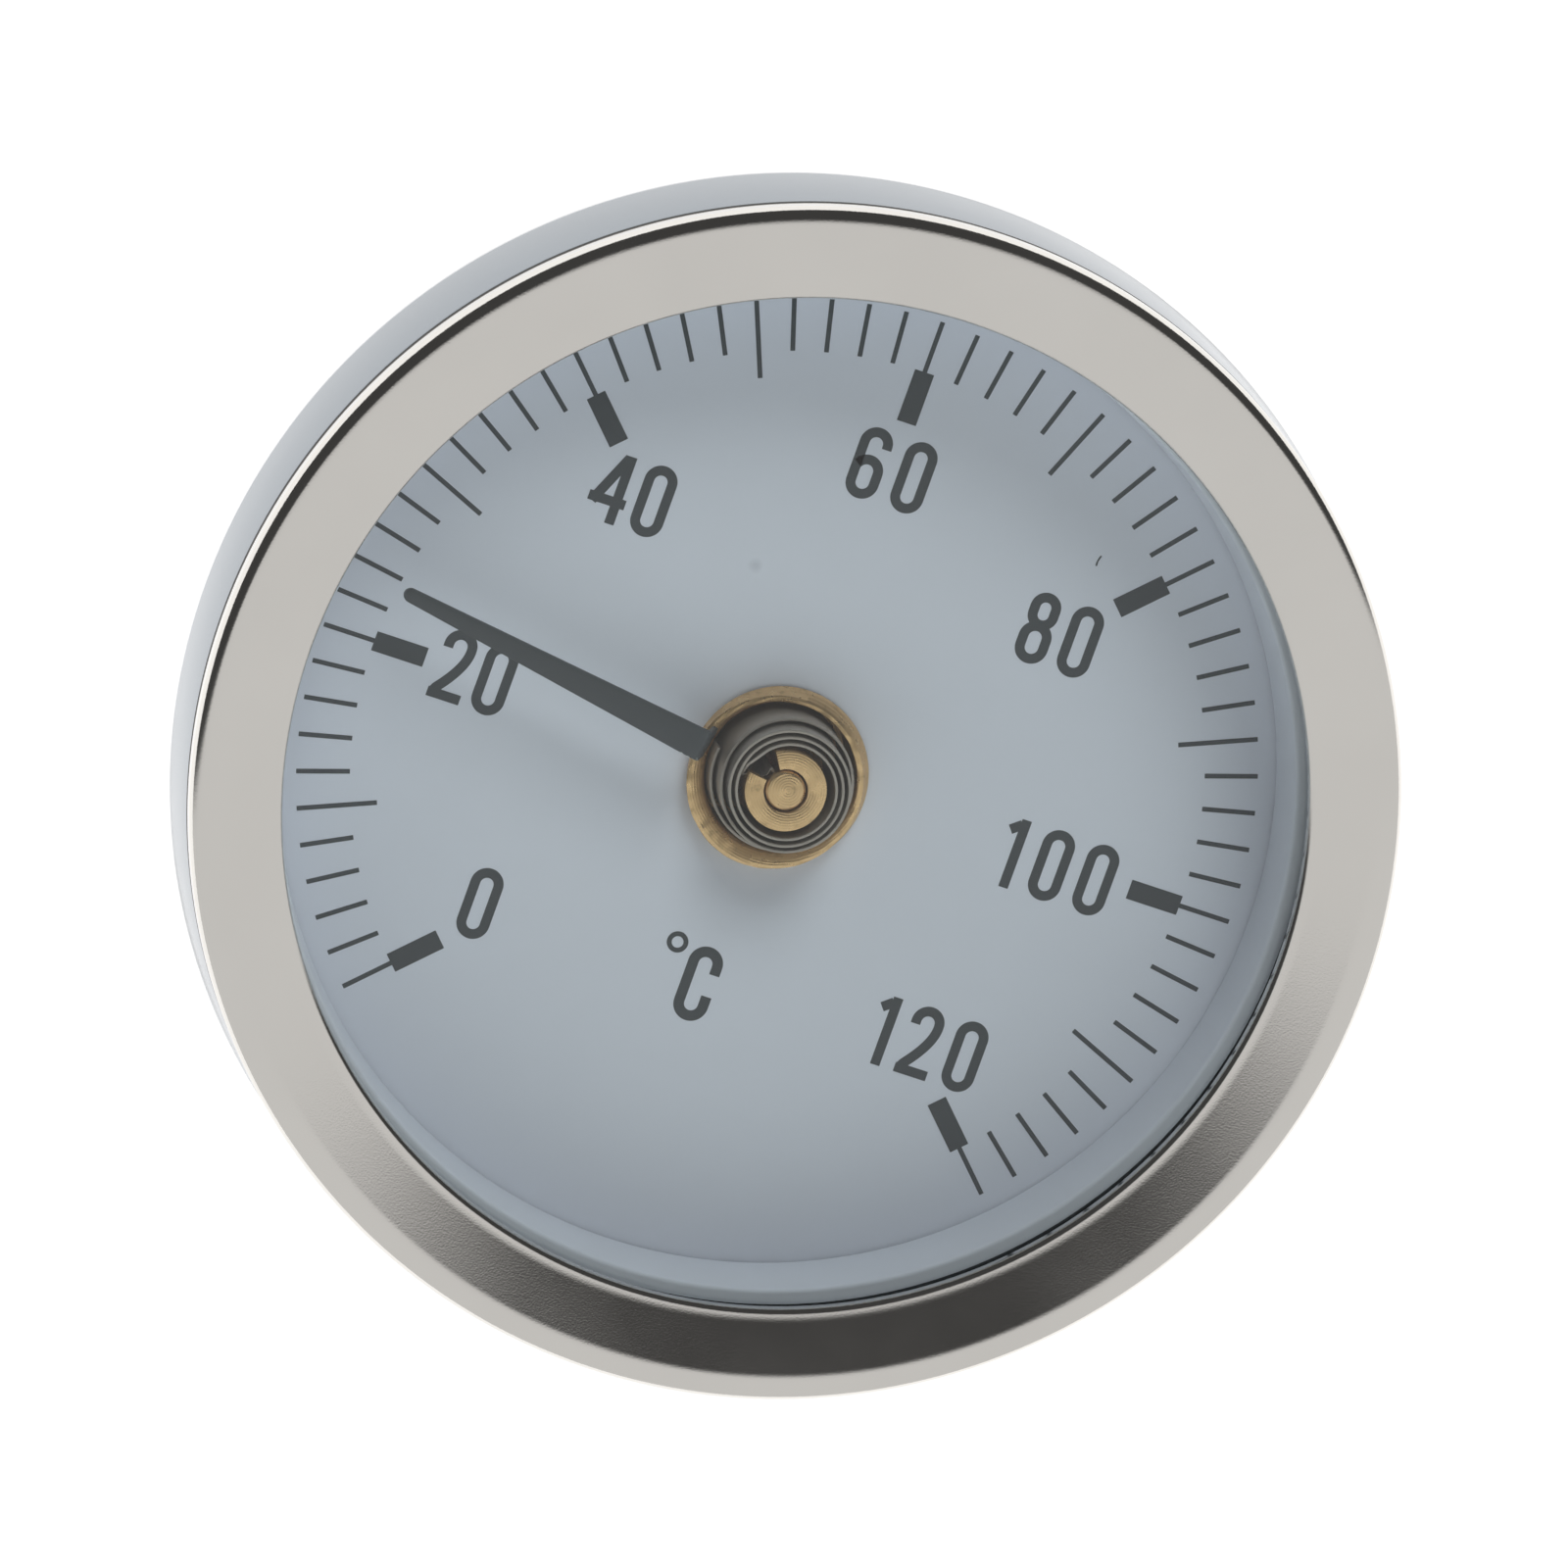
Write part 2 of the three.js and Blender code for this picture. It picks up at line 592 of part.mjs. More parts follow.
// Shank through case and saddle, a domed head below the web and a flat one inside the case.
function rivet() {
  const headTop = caseFloor + SEAT_GAP + RIVET_HEAD_HEIGHT;
  const domeBase = saddleBottom - SEAT_GAP;
  const domeTip = domeBase - RIVET_HEAD_HEIGHT;
  const profile = [
    [0, domeTip],
    [RIVET_HEAD_RADIUS * 0.6, domeTip + RIVET_HEAD_HEIGHT * 0.2],
    [RIVET_HEAD_RADIUS, domeBase],
    [RIVET_RADIUS, domeBase],
    [RIVET_RADIUS, caseFloor + SEAT_GAP],
    [RIVET_HEAD_RADIUS, caseFloor + SEAT_GAP],
    [RIVET_HEAD_RADIUS, headTop],
    [0, headTop],
  ];
  return turned(profile, SMALL_SEGMENTS);
}

addPart('pipe_saddle', pipeSaddle(), ZINC);
for (const [name, side] of [['saddle_rivet_left', -1], ['saddle_rivet_right', 1]]) {
  const geometry = rivet().translate((side * RIVET_SPACING) / 2, 0, 0);
  addPart(name, geometry, STEEL);
}

// ---------------------------------------------------------------- spring and pull ring

// Centre line of the spring: bent end beyond the fixed tab, wire through the tab, coil with
// tapered ends, and a hook round the pull ring's inner bar.
class SpringLine extends THREE.Curve {
  constructor() {
    super();
    const coilHalf = tabFaceX - SADDLE_SHEET - SPRING_END_GAP;
    const hook = SPRING_WIRE / 2 + RING_WIRE / 2 + SEAT_GAP;
    this.coilHalf = coilHalf;
    this.turns = (2 * coilHalf) / SPRING_PITCH;
    this.points = [];
    const anchorX = -tabFaceX - RUN_GAP - SPRING_WIRE;
    this.points.push([anchorX, 0, springAxisZ - ANCHOR_DROP]);
    this.points.push([anchorX, 0, springAxisZ - SPRING_WIRE]);
    this.points.push([anchorX + SPRING_WIRE, 0, springAxisZ]);
    this.points.push([-tabFaceX + 2 * SADDLE_SHEET, 0, springAxisZ]);
    const stepsPerTurn = 10;
    const steps = Math.round(this.turns * stepsPerTurn);
    for (let i = 0; i <= steps; i += 1) {
      const turn = i / stepsPerTurn;
      const left = (steps - i) / stepsPerTurn;
      const swell = Math.min(1, turn, left);
      const radius = SPRING_MEAN_RADIUS * Math.sin((swell * Math.PI) / 2);
      const angle = 2 * Math.PI * turn;
      const x = -coilHalf + (2 * coilHalf * i) / steps;
      this.points.push([x, radius * Math.sin(angle), springAxisZ + radius * Math.cos(angle)]);
    }
    this.points.push([ringBarX - hook - 2 * SPRING_WIRE, 0, springAxisZ]);
    for (let i = 0; i <= 8; i += 1) {
      const angle = toRadians(150 - 300 * (i / 8));
      const x = ringBarX + hook * Math.cos(angle);
      this.points.push([x, 0, springAxisZ + hook * Math.sin(angle)]);
    }
  }

  getPoint(t, target = new THREE.Vector3()) {
    const at = t * (this.points.length - 1);
    const i = Math.min(Math.floor(at), this.points.length - 2);
    const from = new THREE.Vector3(...this.points[i]);
    const to = new THREE.Vector3(...this.points[i + 1]);
    return target.copy(from).lerp(to, at - i);
  }

  // The points are the sections' places, so the steps follow them one by one.
  getPointAt(t, target) {
    return this.getPoint(t, target);
  }

  getTangentAt(t, target = new THREE.Vector3()) {
    const step = 0.5 / (this.points.length - 1);
    const before = this.getPoint(Math.max(0, t - step));
    const after = this.getPoint(Math.min(1, t + step));
    return target.copy(after).sub(before).normalize();
  }
}

function tensionSpring() {
  const line = new SpringLine();
  return wire(line, SPRING_WIRE, line.points.length - 1);
}

// Rectangular wire ring with round corners, lying in the plane of the spring's axis.
function pullRing() {
  const outside = (grow) => {
    const x0 = ringBarX - grow;
    const x1 = ringBarX + RING_LENGTH + grow;
    const half = RING_WIDTH / 2 + grow;
    const round = RING_CORNER_RADIUS + grow;
    return [
      ...arc(x1 - round, -half + round, round, 270, 360, 4),
      ...arc(x1 - round, half - round, round, 0, 90, 4),
      ...arc(x0 + round, half - round, round, 90, 180, 4),
      ...arc(x0 + round, -half + round, round, 180, 270, 4),
    ];
  };
  const sides = 8;
  const rings = [];
  for (let s = 0; s < sides; s += 1) {
    const angle = (2 * Math.PI * (s + 0.5)) / sides;
    const lift = (RING_WIRE / 2) * Math.sin(angle);
    rings.push(outside((RING_WIRE / 2) * Math.cos(angle)).map(([x, y]) => [x, y, springAxisZ + lift]));
  }
  const count = rings[0].length;
  const positions = rings.flat(2);
  const index = [];
  for (let s = 0; s < sides; s += 1) {
    const next = (s + 1) % sides;
    for (let i = 0; i < count; i += 1) {
      const j = (i + 1) % count;
      const [a, b] = [s * count + i, s * count + j];
      const [c, d] = [next * count + i, next * count + j];
      index.push(a, b, d, a, d, c);
    }
  }
  const geometry = new THREE.BufferGeometry();
  geometry.setAttribute('position', new THREE.Float32BufferAttribute(positions, 3));
  geometry.setIndex(index);
  geometry.computeVertexNormals();
  return geometry;
}

addPart('tension_spring', tensionSpring(), STEEL);
addPart('spring_pull_ring', pullRing(), STEEL);

export default part;
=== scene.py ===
"""Clip-on dial thermometer: the visible pieces, their finishes and a plain stage."""

import math
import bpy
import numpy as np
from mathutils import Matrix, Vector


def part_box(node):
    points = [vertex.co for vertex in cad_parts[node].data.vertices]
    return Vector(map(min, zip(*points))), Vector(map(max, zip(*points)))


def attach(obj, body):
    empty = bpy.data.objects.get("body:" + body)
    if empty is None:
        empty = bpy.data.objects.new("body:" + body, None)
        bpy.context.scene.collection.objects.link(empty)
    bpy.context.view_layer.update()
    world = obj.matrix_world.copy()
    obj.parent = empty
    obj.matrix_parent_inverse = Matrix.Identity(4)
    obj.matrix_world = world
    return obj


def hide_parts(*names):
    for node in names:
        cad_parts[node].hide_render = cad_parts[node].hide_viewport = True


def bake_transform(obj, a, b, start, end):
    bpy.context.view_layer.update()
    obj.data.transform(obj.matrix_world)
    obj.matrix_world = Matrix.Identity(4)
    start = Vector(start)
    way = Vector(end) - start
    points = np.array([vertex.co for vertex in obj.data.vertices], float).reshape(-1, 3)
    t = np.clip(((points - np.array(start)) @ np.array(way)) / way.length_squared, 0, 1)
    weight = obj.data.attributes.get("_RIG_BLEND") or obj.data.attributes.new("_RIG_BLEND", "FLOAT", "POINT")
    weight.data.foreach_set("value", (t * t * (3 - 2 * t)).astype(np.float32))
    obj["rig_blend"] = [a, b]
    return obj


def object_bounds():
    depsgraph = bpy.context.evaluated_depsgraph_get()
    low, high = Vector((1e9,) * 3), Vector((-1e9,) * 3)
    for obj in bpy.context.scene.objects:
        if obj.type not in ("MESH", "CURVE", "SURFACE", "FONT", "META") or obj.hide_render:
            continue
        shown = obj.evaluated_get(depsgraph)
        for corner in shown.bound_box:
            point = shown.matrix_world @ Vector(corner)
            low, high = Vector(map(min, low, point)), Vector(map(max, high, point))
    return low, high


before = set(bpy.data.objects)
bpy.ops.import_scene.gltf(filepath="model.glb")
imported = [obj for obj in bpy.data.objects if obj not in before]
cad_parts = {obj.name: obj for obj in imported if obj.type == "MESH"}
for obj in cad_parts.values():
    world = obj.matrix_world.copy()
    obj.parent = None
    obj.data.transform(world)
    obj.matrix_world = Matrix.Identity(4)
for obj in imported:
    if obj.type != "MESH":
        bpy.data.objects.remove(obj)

from types import SimpleNamespace

import bmesh
import bpy
import numpy as np
from mathutils import Matrix, Vector

bl_info = {
    "name": "Dial thermometer",
    "version": (1, 0, 0),
    "blender": (4, 5, 0),
    "location": "View3D > Sidebar > Thermometer",
    "description": "Builds a clip-on dial thermometer round its packed part",
    "category": "Object",
}

MM = 0.001
CAD_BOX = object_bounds()


# ---------------------------------------------------------------- sizes read from the frame


def low(node):
    """Lowest height of a node in millimetres."""
    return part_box(node)[0][2] / MM


def high(node):
    """Greatest height of a node in millimetres."""
    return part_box(node)[1][2] / MM


def reach(node):
    """Radius of a round node in millimetres."""
    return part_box(node)[1][1] / MM


def reach_x(node):
    """Greatest x of a node in millimetres."""
    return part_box(node)[1][0] / MM


# ---------------------------------------------------------------- what a user would change


def size(name, value, text):
    """A length property whose default is given in millimetres."""
    return bpy.props.FloatProperty(
        name=name, description=text, default=value * MM, min=0.0, precision=5, unit="LENGTH"
    )


def turn(name, value, text):
    """An angle property whose default is given in degrees."""
    return bpy.props.FloatProperty(
        name=name, description=text, default=math.radians(value), subtype="ANGLE"
    )


def factor(name, value, text, top=1.0):
    """A plain number property."""
    return bpy.props.FloatProperty(name=name, description=text, default=value, min=0.0, max=top)


def linear(colour):
    """Turns an sRGB hex colour to linear red, green, blue and an alpha of 1."""
    shares = np.array([int(colour[i : i + 2], 16) for i in (1, 3, 5)]) / 255
    values = np.where(shares <= 0.04045, shares / 12.92, ((shares + 0.055) / 1.055) ** 2.4)
    return (*values.tolist(), 1.0)


def shade(name, colour, text):
    """A colour property whose default is given as sRGB hex."""
    return bpy.props.FloatVectorProperty(
        name=name, description=text, default=linear(colour), size=4, min=0, max=1, subtype="COLOR"
    )


class CaseSizes(bpy.types.PropertyGroup):
    """Sizes of the drawn case and its pressed ring."""

    sheet: size("Sheet", 0.5, "Thickness of the case and the bezel")
    corner_radius: size("Back corner", 3, "Outside radius between the case's back and wall")
    taper: size("Taper", 0.47, "How much narrower the wall is at its mouth")
    neck_step: size("Neck step", 0.4, "How much smaller the neck under the bezel is")
    skirt_gap: size("Skirt gap", 0.45, "Open groove between the bezel's skirt and the case")
    face_width: size("Bezel width", 4.85, "From the bezel's opening to its outside")
    shoulder_radius: size("Bezel shoulder", 0.68, "Outside radius of the bezel's shoulder")
    face_round: size("Bezel face round", 3.6, "Radius of the face where it runs into the shoulder")
    lip_tilt: turn("Bezel lip tilt", 4.3, "How steeply the face drops beside the lip")
    lip_flat: size("Bezel lip flat", 0.5, "Width over which the face levels off beside the lip")
    lip_radius: size("Bezel lip", 0.3, "Radius of the lip round the opening")
    tilt: turn("Bezel tilt", 9.5, "How steeply the face drops towards the opening")
    spacer_show: size("Spacer shows", 0.55, "How far the spacer's foot shows in the opening")
    spacer_flare: size("Spacer flare", 0.3, "How much wider the spacer is at its top")
    gasket_inset: size("Gasket inset", 0.45, "How far back from the opening the gasket starts")
    # painted shade: the bezel is painted fully dark up to the first height above the skirt's edge, fading
    # out by the second
    bezel_dirt: size("Bezel dirt", 0.5, "Height above the skirt's edge up to which dirt is dark")
    bezel_shade_end: size("Bezel clean", 0.85, "Height above the skirt's edge where the dirt ends")
    # painted shade: the case's back corner is painted dark up to the first height, fading out by the second
    case_dirt: size("Case dirt", 2.7, "Height up to which the back corner is dark with dirt")
    case_shade_end: size("Case clean", 3.9, "Height where the back corner's dirt ends")


class DialSizes(bpy.types.PropertyGroup):
    """The printed scale and what it reads."""

    reading: factor("Reading", 24, "Temperature that the pointer shows", 120)
    start: turn("First mark", 225, "Direction of the 0 degree mark")
    step: turn("Step", 2.25, "Arc for each degree on the scale")
    mark_radius: size("Mark radius", 25.18, "Radius of the outer ends of the marks")
    mark_length: size("Mark length", 2.8, "Length of the marks for every 2 degrees")
    half_length: size("Long mark", 4.19, "Length of the marks half way between two numbers")
    mark_width: size("Mark width", 0.25, "Width of the thin marks")
    bar_length: size("Bar length", 2.8, "Length of the bar at a number")
    bar_width: size("Bar width", 1.05, "Width of the bar at a number")
    number_height: size("Number height", 3.36, "Height of a numeral between its line centres")
    number_width: size("Number width", 1.24, "Width of a numeral between its line centres")
    stroke: size("Stroke", 0.52, "Line width of the numerals")
    ink: size("Ink", 0.015, "Thickness of the print")
    layer: size("Layer", 0.004, "How much each stroke lies over the one before")


class HubSizes(bpy.types.PropertyGroup):
    """The brass pieces, the spiral strip and the pointer."""

    bore: size("Cup bore", 3.95, "Radius inside the cup's thin tube")
    tube: size("Cup tube", 4.3, "Outside radius of the cup's thin tube")
    rim: size("Rolled rim", 4.75, "Outside radius of the rim rolled over the dial")
    rim_shift: size("Rim shift", 0.4, "How far the rolled rim sits off the cup's axis")
    rim_side: turn("Rim side", 242, "Direction the rolled rim is shifted to")
    rim_extra: size("Rim extra", 0.06, "How much wider the rim is where it was rolled flattest")
    rim_wide_at: turn("Rim wide at", 215, "Direction of the rim's widest part")
    shank: size("Shank", 5.5, "Radius of the cup's solid end")
    cup_floor: size("Cup floor", 1.6, "Thickness of the cup's solid end")
    groove: size("Groove", 4.8, "Radius at the bottom of the snap ring's groove")
    groove_low: size("Groove from", 0.7, "Height of the groove's lower side")
    groove_high: size("Groove to", 1.5, "Height of the groove's upper side")
    pin: size("Pin", 1.04, "Radius of the middle pin")
    collar: size("Collar", 2.15, "Outside radius of the slotted collar")
    hub_shift: size("Hub shift", 0.14, "How far pin and collar sit off the cup's axis")
    hub_side: turn("Hub side", 200, "Direction pin and collar are shifted to")
    slot_angle: turn("Slot", 147, "Direction of the collar's slot")
    slot_spread: turn("Slot spread", 46, "Opening angle of the collar's slot")
    strip_turns: factor("Strip turns", 4, "Turns of the spiral from slot to slot", 12)
    strip_start: size("Strip start", 2.4, "Radius of the spiral's first turn")
    strip_pitch: size("Strip pitch", 0.35, "Distance from turn to turn")
    strip_thickness: size("Strip", 0.15, "Thickness of the spiral strip")
    strip_tail: size("Strip tail", 1.4, "How near to the axis the strip's inner end reaches")
    tail_drop: size("Tail drop", 0.45, "How far the strip's inner end sits down in the slot")
    strip_sag: size("Strip sag", 2.4, "How far the outer turns step down")
    sag_turns: factor("Sag turns", 1.7, "Number of outer turns over which they step down", 12)
    hub_width: size("Pointer width", 1.7, "Width of the pointer at its hub end")
    tip_width: size("Pointer tip", 0.75, "Width of the pointer at its tip")
    pointer_sheet: size("Pointer sheet", 0.3, "Thickness of the pointer")
    pointer_tip: size("Pointer reach", 22.7, "Radius of the pointer's tip")
    pointer_bend: size("Pointer bend", 5.3, "Radius where the blade bends down")
    pointer_foot: size("Pointer foot", 4.4, "Radius of the foot's lower end")
    chip_at: size("Chips at", 5.4, "Radius round which the pointer's edge is chipped")


class SaddleSizes(bpy.types.PropertyGroup):
    """The saddle's rivets and edges, the snap ring, the spring and its pull ring."""

    edge: size("Sheet edge", 0.12, "Rounding along the saddle's cut edges")
    sheet: size("Saddle sheet", 1, "Thickness of the saddle's sheet")
    rivet_shank: size("Rivet shank", 1.5, "Radius of the rivets between their heads")
    ring_mouth: size("Snap ring mouth", 5.2, "Width of the snap ring's opening at its inner side")
    wire: size("Spring wire", 0.4, "Radius of the spring's wire")
    coil: size("Coil", 1.9, "Radius of the spring's coil")
    pitch: size("Coil pitch", 1.55, "Distance from turn to turn")
    coil_gap: size("Coil gap", 5, "From the end tabs to the last turns")
    anchor_gap: size("Anchor gap", 0.7, "From the fixed tab's face to the bent end's wire")
    anchor_drop: size("Anchor drop", 2, "Length of the wire's bent end beyond the fixed tab")
    ring_wire: size("Pull ring wire", 0.6, "Radius of the pull ring's wire")
    ring_corner: size("Pull ring corner", 1.4, "How far the ring's corners start from their tips")


class FinishColours(bpy.types.PropertyGroup):
    """Colours of the finishes."""

    nickel: shade("Nickel", "#d3d0cb", "Satin nickel plate of the bezel")
    zinc: shade("Zinc", "#8c9298", "Bright zinc plate of the case and saddle")
    steel: shade("Steel", "#a3a5a7", "Bright spring steel")
    brass: shade("Brass", "#e6bf8c", "Turned brass")
    strip: shade("Strip", "#a99f95", "Rolled two-metal strip")
    black: shade("Black", "#45484b", "Dark grey print and pointer paint")
    dial: shade("Dial", "#e3e4ed", "White stove enamel of the dial")
    plastic: shade("Plastic", "#e6e8f0", "White moulded plastic of the spacer")
    rubber: shade("Rubber", "#2a2b2c", "Black rubber of the gasket")
    # painted shade: the colour of the dark band painted on the bezel's skirt edge and the case's back corner
    dirt: shade("Painted shade", "#33312d", "Dirt along the bezel's skirt and the case's back corner")
    chip: shade("Chips", "#d8dadb", "Bare sheet where the pointer's paint has chipped off")


class StageSettings(bpy.types.PropertyGroup):
    """Camera and light."""

    azimuth: turn("Azimuth", 139.03, "Direction of the camera round the dial, from +X")
    elevation: turn("Elevation", 75.71, "Height of the camera above the dial's plane")
    roll: turn("Up direction", 109.88, "Direction on the dial that is up in the picture")
    distance: size("Distance", 955.8, "From the camera to the middle of the dial")
    lens: factor("Lens", 422.5, "Focal length in millimetres on a 36 mm sensor", 1000)
    sky: factor("Soft light", 1.02, "Brightness of the large soft light on one side", 10)
    shade: factor("Shade", 0.08, "Brightness of the dark side of the studio", 10)
    shade_side: turn("Shade side", 116.2, "Direction of the dark side of the studio")
    key_side: turn("Key side", 292, "Direction the key light comes from")
    key_rise: turn("Key height", 52, "Height of the key light")
    key_size: turn("Key size", 45, "Apparent size of the key light")
    key_power: factor("Key power", 0.24, "Strength of the key light", 10)
    fill_side: turn("Fill side", 94, "Direction the fill light comes from")
    fill_rise: turn("Fill height", 37, "Height of the fill light")
    fill_size: turn("Fill size", 26, "Apparent size of the fill light")
    fill_power: factor("Fill power", 1.05, "Strength of the fill light", 10)
    floor_glow: factor("Floor glow", 0.78, "Light from below through the floor", 10)
    glow_inner: size("Glow from", 24, "Radius where the floor's glow begins")
    glow_outer: size("Glow full", 29.5, "Radius where the floor's glow is full")


# ---------------------------------------------------------------- shapes


def in_mm(group):
    """Lengths of a property group in millimetres, angles in radians."""
    values = {}
    for key in group.__annotations__:
        is_length = group.bl_rna.properties[key].unit == "LENGTH"
        values[key] = getattr(group, key) / MM if is_length else getattr(group, key)
    return SimpleNamespace(**values)


def arc(x, y, radius, start, end, steps=8):
    """Points at x + radius cos a, y + radius sin a, for angles a in degrees from start to end."""
    angle = np.radians(np.linspace(start, end, steps + 1))
    return np.stack([x + radius * np.cos(angle), y + radius * np.sin(angle)], axis=1)


def curve_through(start, pull, end, steps):
    """Points of the curve that leaves start towards pull and arrives at end from it:
    (1-t)^2 start + 2t(1-t) pull + t^2 end."""
    t = np.linspace(0, 1, steps + 1)[:, None]
    start, pull, end = np.array(start), np.array(pull), np.array(end)
    return (1 - t) ** 2 * start + 2 * t * (1 - t) * pull + t**2 * end


def eased(corners, radius, steps=4, closed=True):
    """A line with soft corners: each corner becomes a curve that is the mean of corner and
    neighbours, weighted (1-t)^2, 2t(1-t) and t^2, starting and ending radius away from it."""
    points = np.array(corners, float)
    reach_back = np.roll(points, 1, axis=0) - points
    reach_on = np.roll(points, -1, axis=0) - points
    back_length = np.linalg.norm(reach_back, axis=1, keepdims=True)
    on_length = np.linalg.norm(reach_on, axis=1, keepdims=True)
    room = np.broadcast_to(np.array(radius, float), (len(points),)).reshape(-1, 1).copy()
    if not closed:
        room[0] = room[-1] = 0
    room = np.minimum(room, 0.49 * np.minimum(back_length, on_length))
    start = points + reach_back / back_length * room
    end = points + reach_on / on_length * room
    t = np.linspace(0, 1, steps + 1).reshape(1, -1, 1)
    curve = (1 - t) ** 2 * start[:, None] + 2 * t * (1 - t) * points[:, None] + t**2 * end[:, None]
    curve = curve.reshape(-1, points.shape[1])
    moved = np.linalg.norm(np.diff(curve, axis=0), axis=1) > 1e-9
    return curve[np.append(True, moved)]


def turned(profile, steps=256, closed=True):
    """Grid of a profile (r, z) carried round Z: x = r cos a, y = r sin a, z = z."""
    profile = np.array(profile, float)
    angle = np.linspace(0, 2 * np.pi, steps, endpoint=False)[:, None]
    r, z = profile[:, 0][None], profile[:, 1][None]
    points = np.stack([r * np.cos(angle), r * np.sin(angle), z + 0 * angle], axis=2)
    return points, True, closed, False


def carried(path, section, up, closed=False):
    """Grid of a section (a, b) carried along a path: each point is the path's point plus a times
    the side direction (tangent cross up) plus b times the lift (side cross tangent)."""
    path = np.array(path, float)
    if closed:
        tangent = np.roll(path, -1, axis=0) - np.roll(path, 1, axis=0)
    else:
        tangent = np.gradient(path, axis=0)
    tangent /= np.linalg.norm(tangent, axis=1, keepdims=True)
    side = np.cross(tangent, np.broadcast_to(np.array(up, float), path.shape))
    side /= np.linalg.norm(side, axis=1, keepdims=True)
    lift = np.cross(side, tangent)
    section = np.array(section, float)
    if section.ndim == 2:
        section = np.broadcast_to(section, (len(path), *section.shape))
    a, b = section[..., :1], section[..., 1:]
    points = path[:, None] + a * side[:, None] + b * lift[:, None]
    return points, closed, True, not closed


def rectangle(width, height, ease):
    """Section of a bar: a rectangle about the middle with its corners eased."""
    x, y = width / 2, height / 2
    return eased([(-x, -y), (x, -y), (x, y), (-x, y)], ease, 2)


def ring_section(radius, sides):
    """Section of a round wire: radius times cos a and sin a."""
    angle = np.linspace(0, 2 * np.pi, sides, endpoint=False)
    return np.stack([radius * np.cos(angle), radius * np.sin(angle)], axis=1)


def at_height(points, z):
    """Adds a height to points on a plane."""
    points = np.array(points, float)
    return np.column_stack([points, np.full(len(points), z)])


def grid_faces(grid, first):
    """Quads between neighbours of a grid, its last row or column joined to the first where it
    wraps, and the two end rows filled where it is capped."""
    points, wrap_rows, wrap_columns, capped = grid
    rows, columns = points.shape[:2]
    index = np.arange(rows * columns).reshape(rows, columns) + first
    ends = [index[0].tolist(), index[-1].tolist()] if capped else []
    if wrap_rows:
        index = np.vstack([index, index[:1]])
    if wrap_columns:
        index = np.hstack([index, index[:, :1]])
    corners = (index[:-1, :-1], index[1:, :-1], index[1:, 1:], index[:-1, 1:])
    return np.stack(corners, axis=-1).reshape(-1, 4).tolist() + ends


def piece(name, grids, finish, node=None, body="case", sharp=38.0, merge=False):
    """Makes a piece of one or more grids, faces outwards, and lets it ride on its body.
    With merge, points that lie on each other, such as a pole's, become one."""
    mesh = bpy.data.meshes.new(name)
    faces, first = [], 0
    for grid in grids:
        faces += grid_faces(grid, first)
        first += grid[0].shape[0] * grid[0].shape[1]
    points = np.concatenate([grid[0].reshape(-1, 3) for grid in grids]) * MM
    mesh.from_pydata(points, [], faces)
    return add_piece(name, mesh, finish, node, body, sharp, merge)


def add_piece(name, mesh, finish, node, body, sharp, merge):
    """Finishes a mesh as a piece in its final place; a body of None leaves it to be blended."""
    shell = bmesh.new()
    shell.from_mesh(mesh)
    if merge:
        bmesh.ops.remove_doubles(shell, verts=shell.verts, dist=1e-7)
    bmesh.ops.recalc_face_normals(shell, faces=shell.faces)
    shell.to_mesh(mesh)
    shell.free()
    mesh.shade_smooth()
    mesh.set_sharp_from_angle(angle=math.radians(sharp))
    mesh.materials.append(finish)
    made = bpy.data.objects.new(name, mesh)
    bpy.context.scene.collection.objects.link(made)
    if body:
        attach(made, body)
    if node:
        for each in [node] if isinstance(node, str) else node:
            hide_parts(each)
    return made


def set_share(made, share):
    """Replaces the even blend along a line by each point's own share, from 0 to 1."""
    made.data.attributes["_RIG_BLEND"].data.foreach_set("value", share.astype(np.float32))


# ---------------------------------------------------------------- finishes


def add(tree, kind, inputs=None, **settings):
    """Adds a node with its settings; each input is a value or another node's output."""
    made = tree.nodes.new(kind)
    for key, value in settings.items():
        setattr(made, key, value)
    for key, value in (inputs or {}).items():
        if isinstance(value, bpy.types.NodeSocket):
            tree.links.new(value, made.inputs[key])
        else:
            made.inputs[key].default_value = value
    return made


def bare(name):
    """A new material with an empty tree, its output node and Object coordinates."""
    material = bpy.data.materials.new(name)
    material.use_nodes = True
    tree = material.node_tree
    tree.nodes.clear()
    end = add(tree, "ShaderNodeOutputMaterial")
    place = add(tree, "ShaderNodeTexCoord").outputs["Object"]
    return material, tree, end, place


def tone(colour, amount):
    """The colour made lighter or darker by a share."""
    return (*[min(1.0, c * amount) for c in tuple(colour)[:3]], 1.0)


def per_mm(spacing):
    """Texture scale for a pattern whose features are that many millimetres apart."""
    return 1 / (spacing * MM)


def skinned(tree, end, height, depth, inputs):
    """Ends a finish: an opaque surface with those inputs, raised by height times depth in mm."""
    relief = {"Height": height, "Strength": 1.0, "Distance": depth * MM}
    bump = add(tree, "ShaderNodeBump", relief)
    skin = add(tree, "ShaderNodeBsdfPrincipled", {**inputs, "Normal": bump.outputs["Normal"]})
    tree.links.new(skin.outputs["BSDF"], end.inputs["Surface"])
    return skin


# In the finishes below, Map Range takes its value at 0, the range it comes from at 1 and 2 and
# the range it becomes at 3 and 4. Mix takes its share at 0, two numbers at 2 and 3 and gives
# their mix at 0, or takes two colours at 6 and 7 and gives theirs at 2.


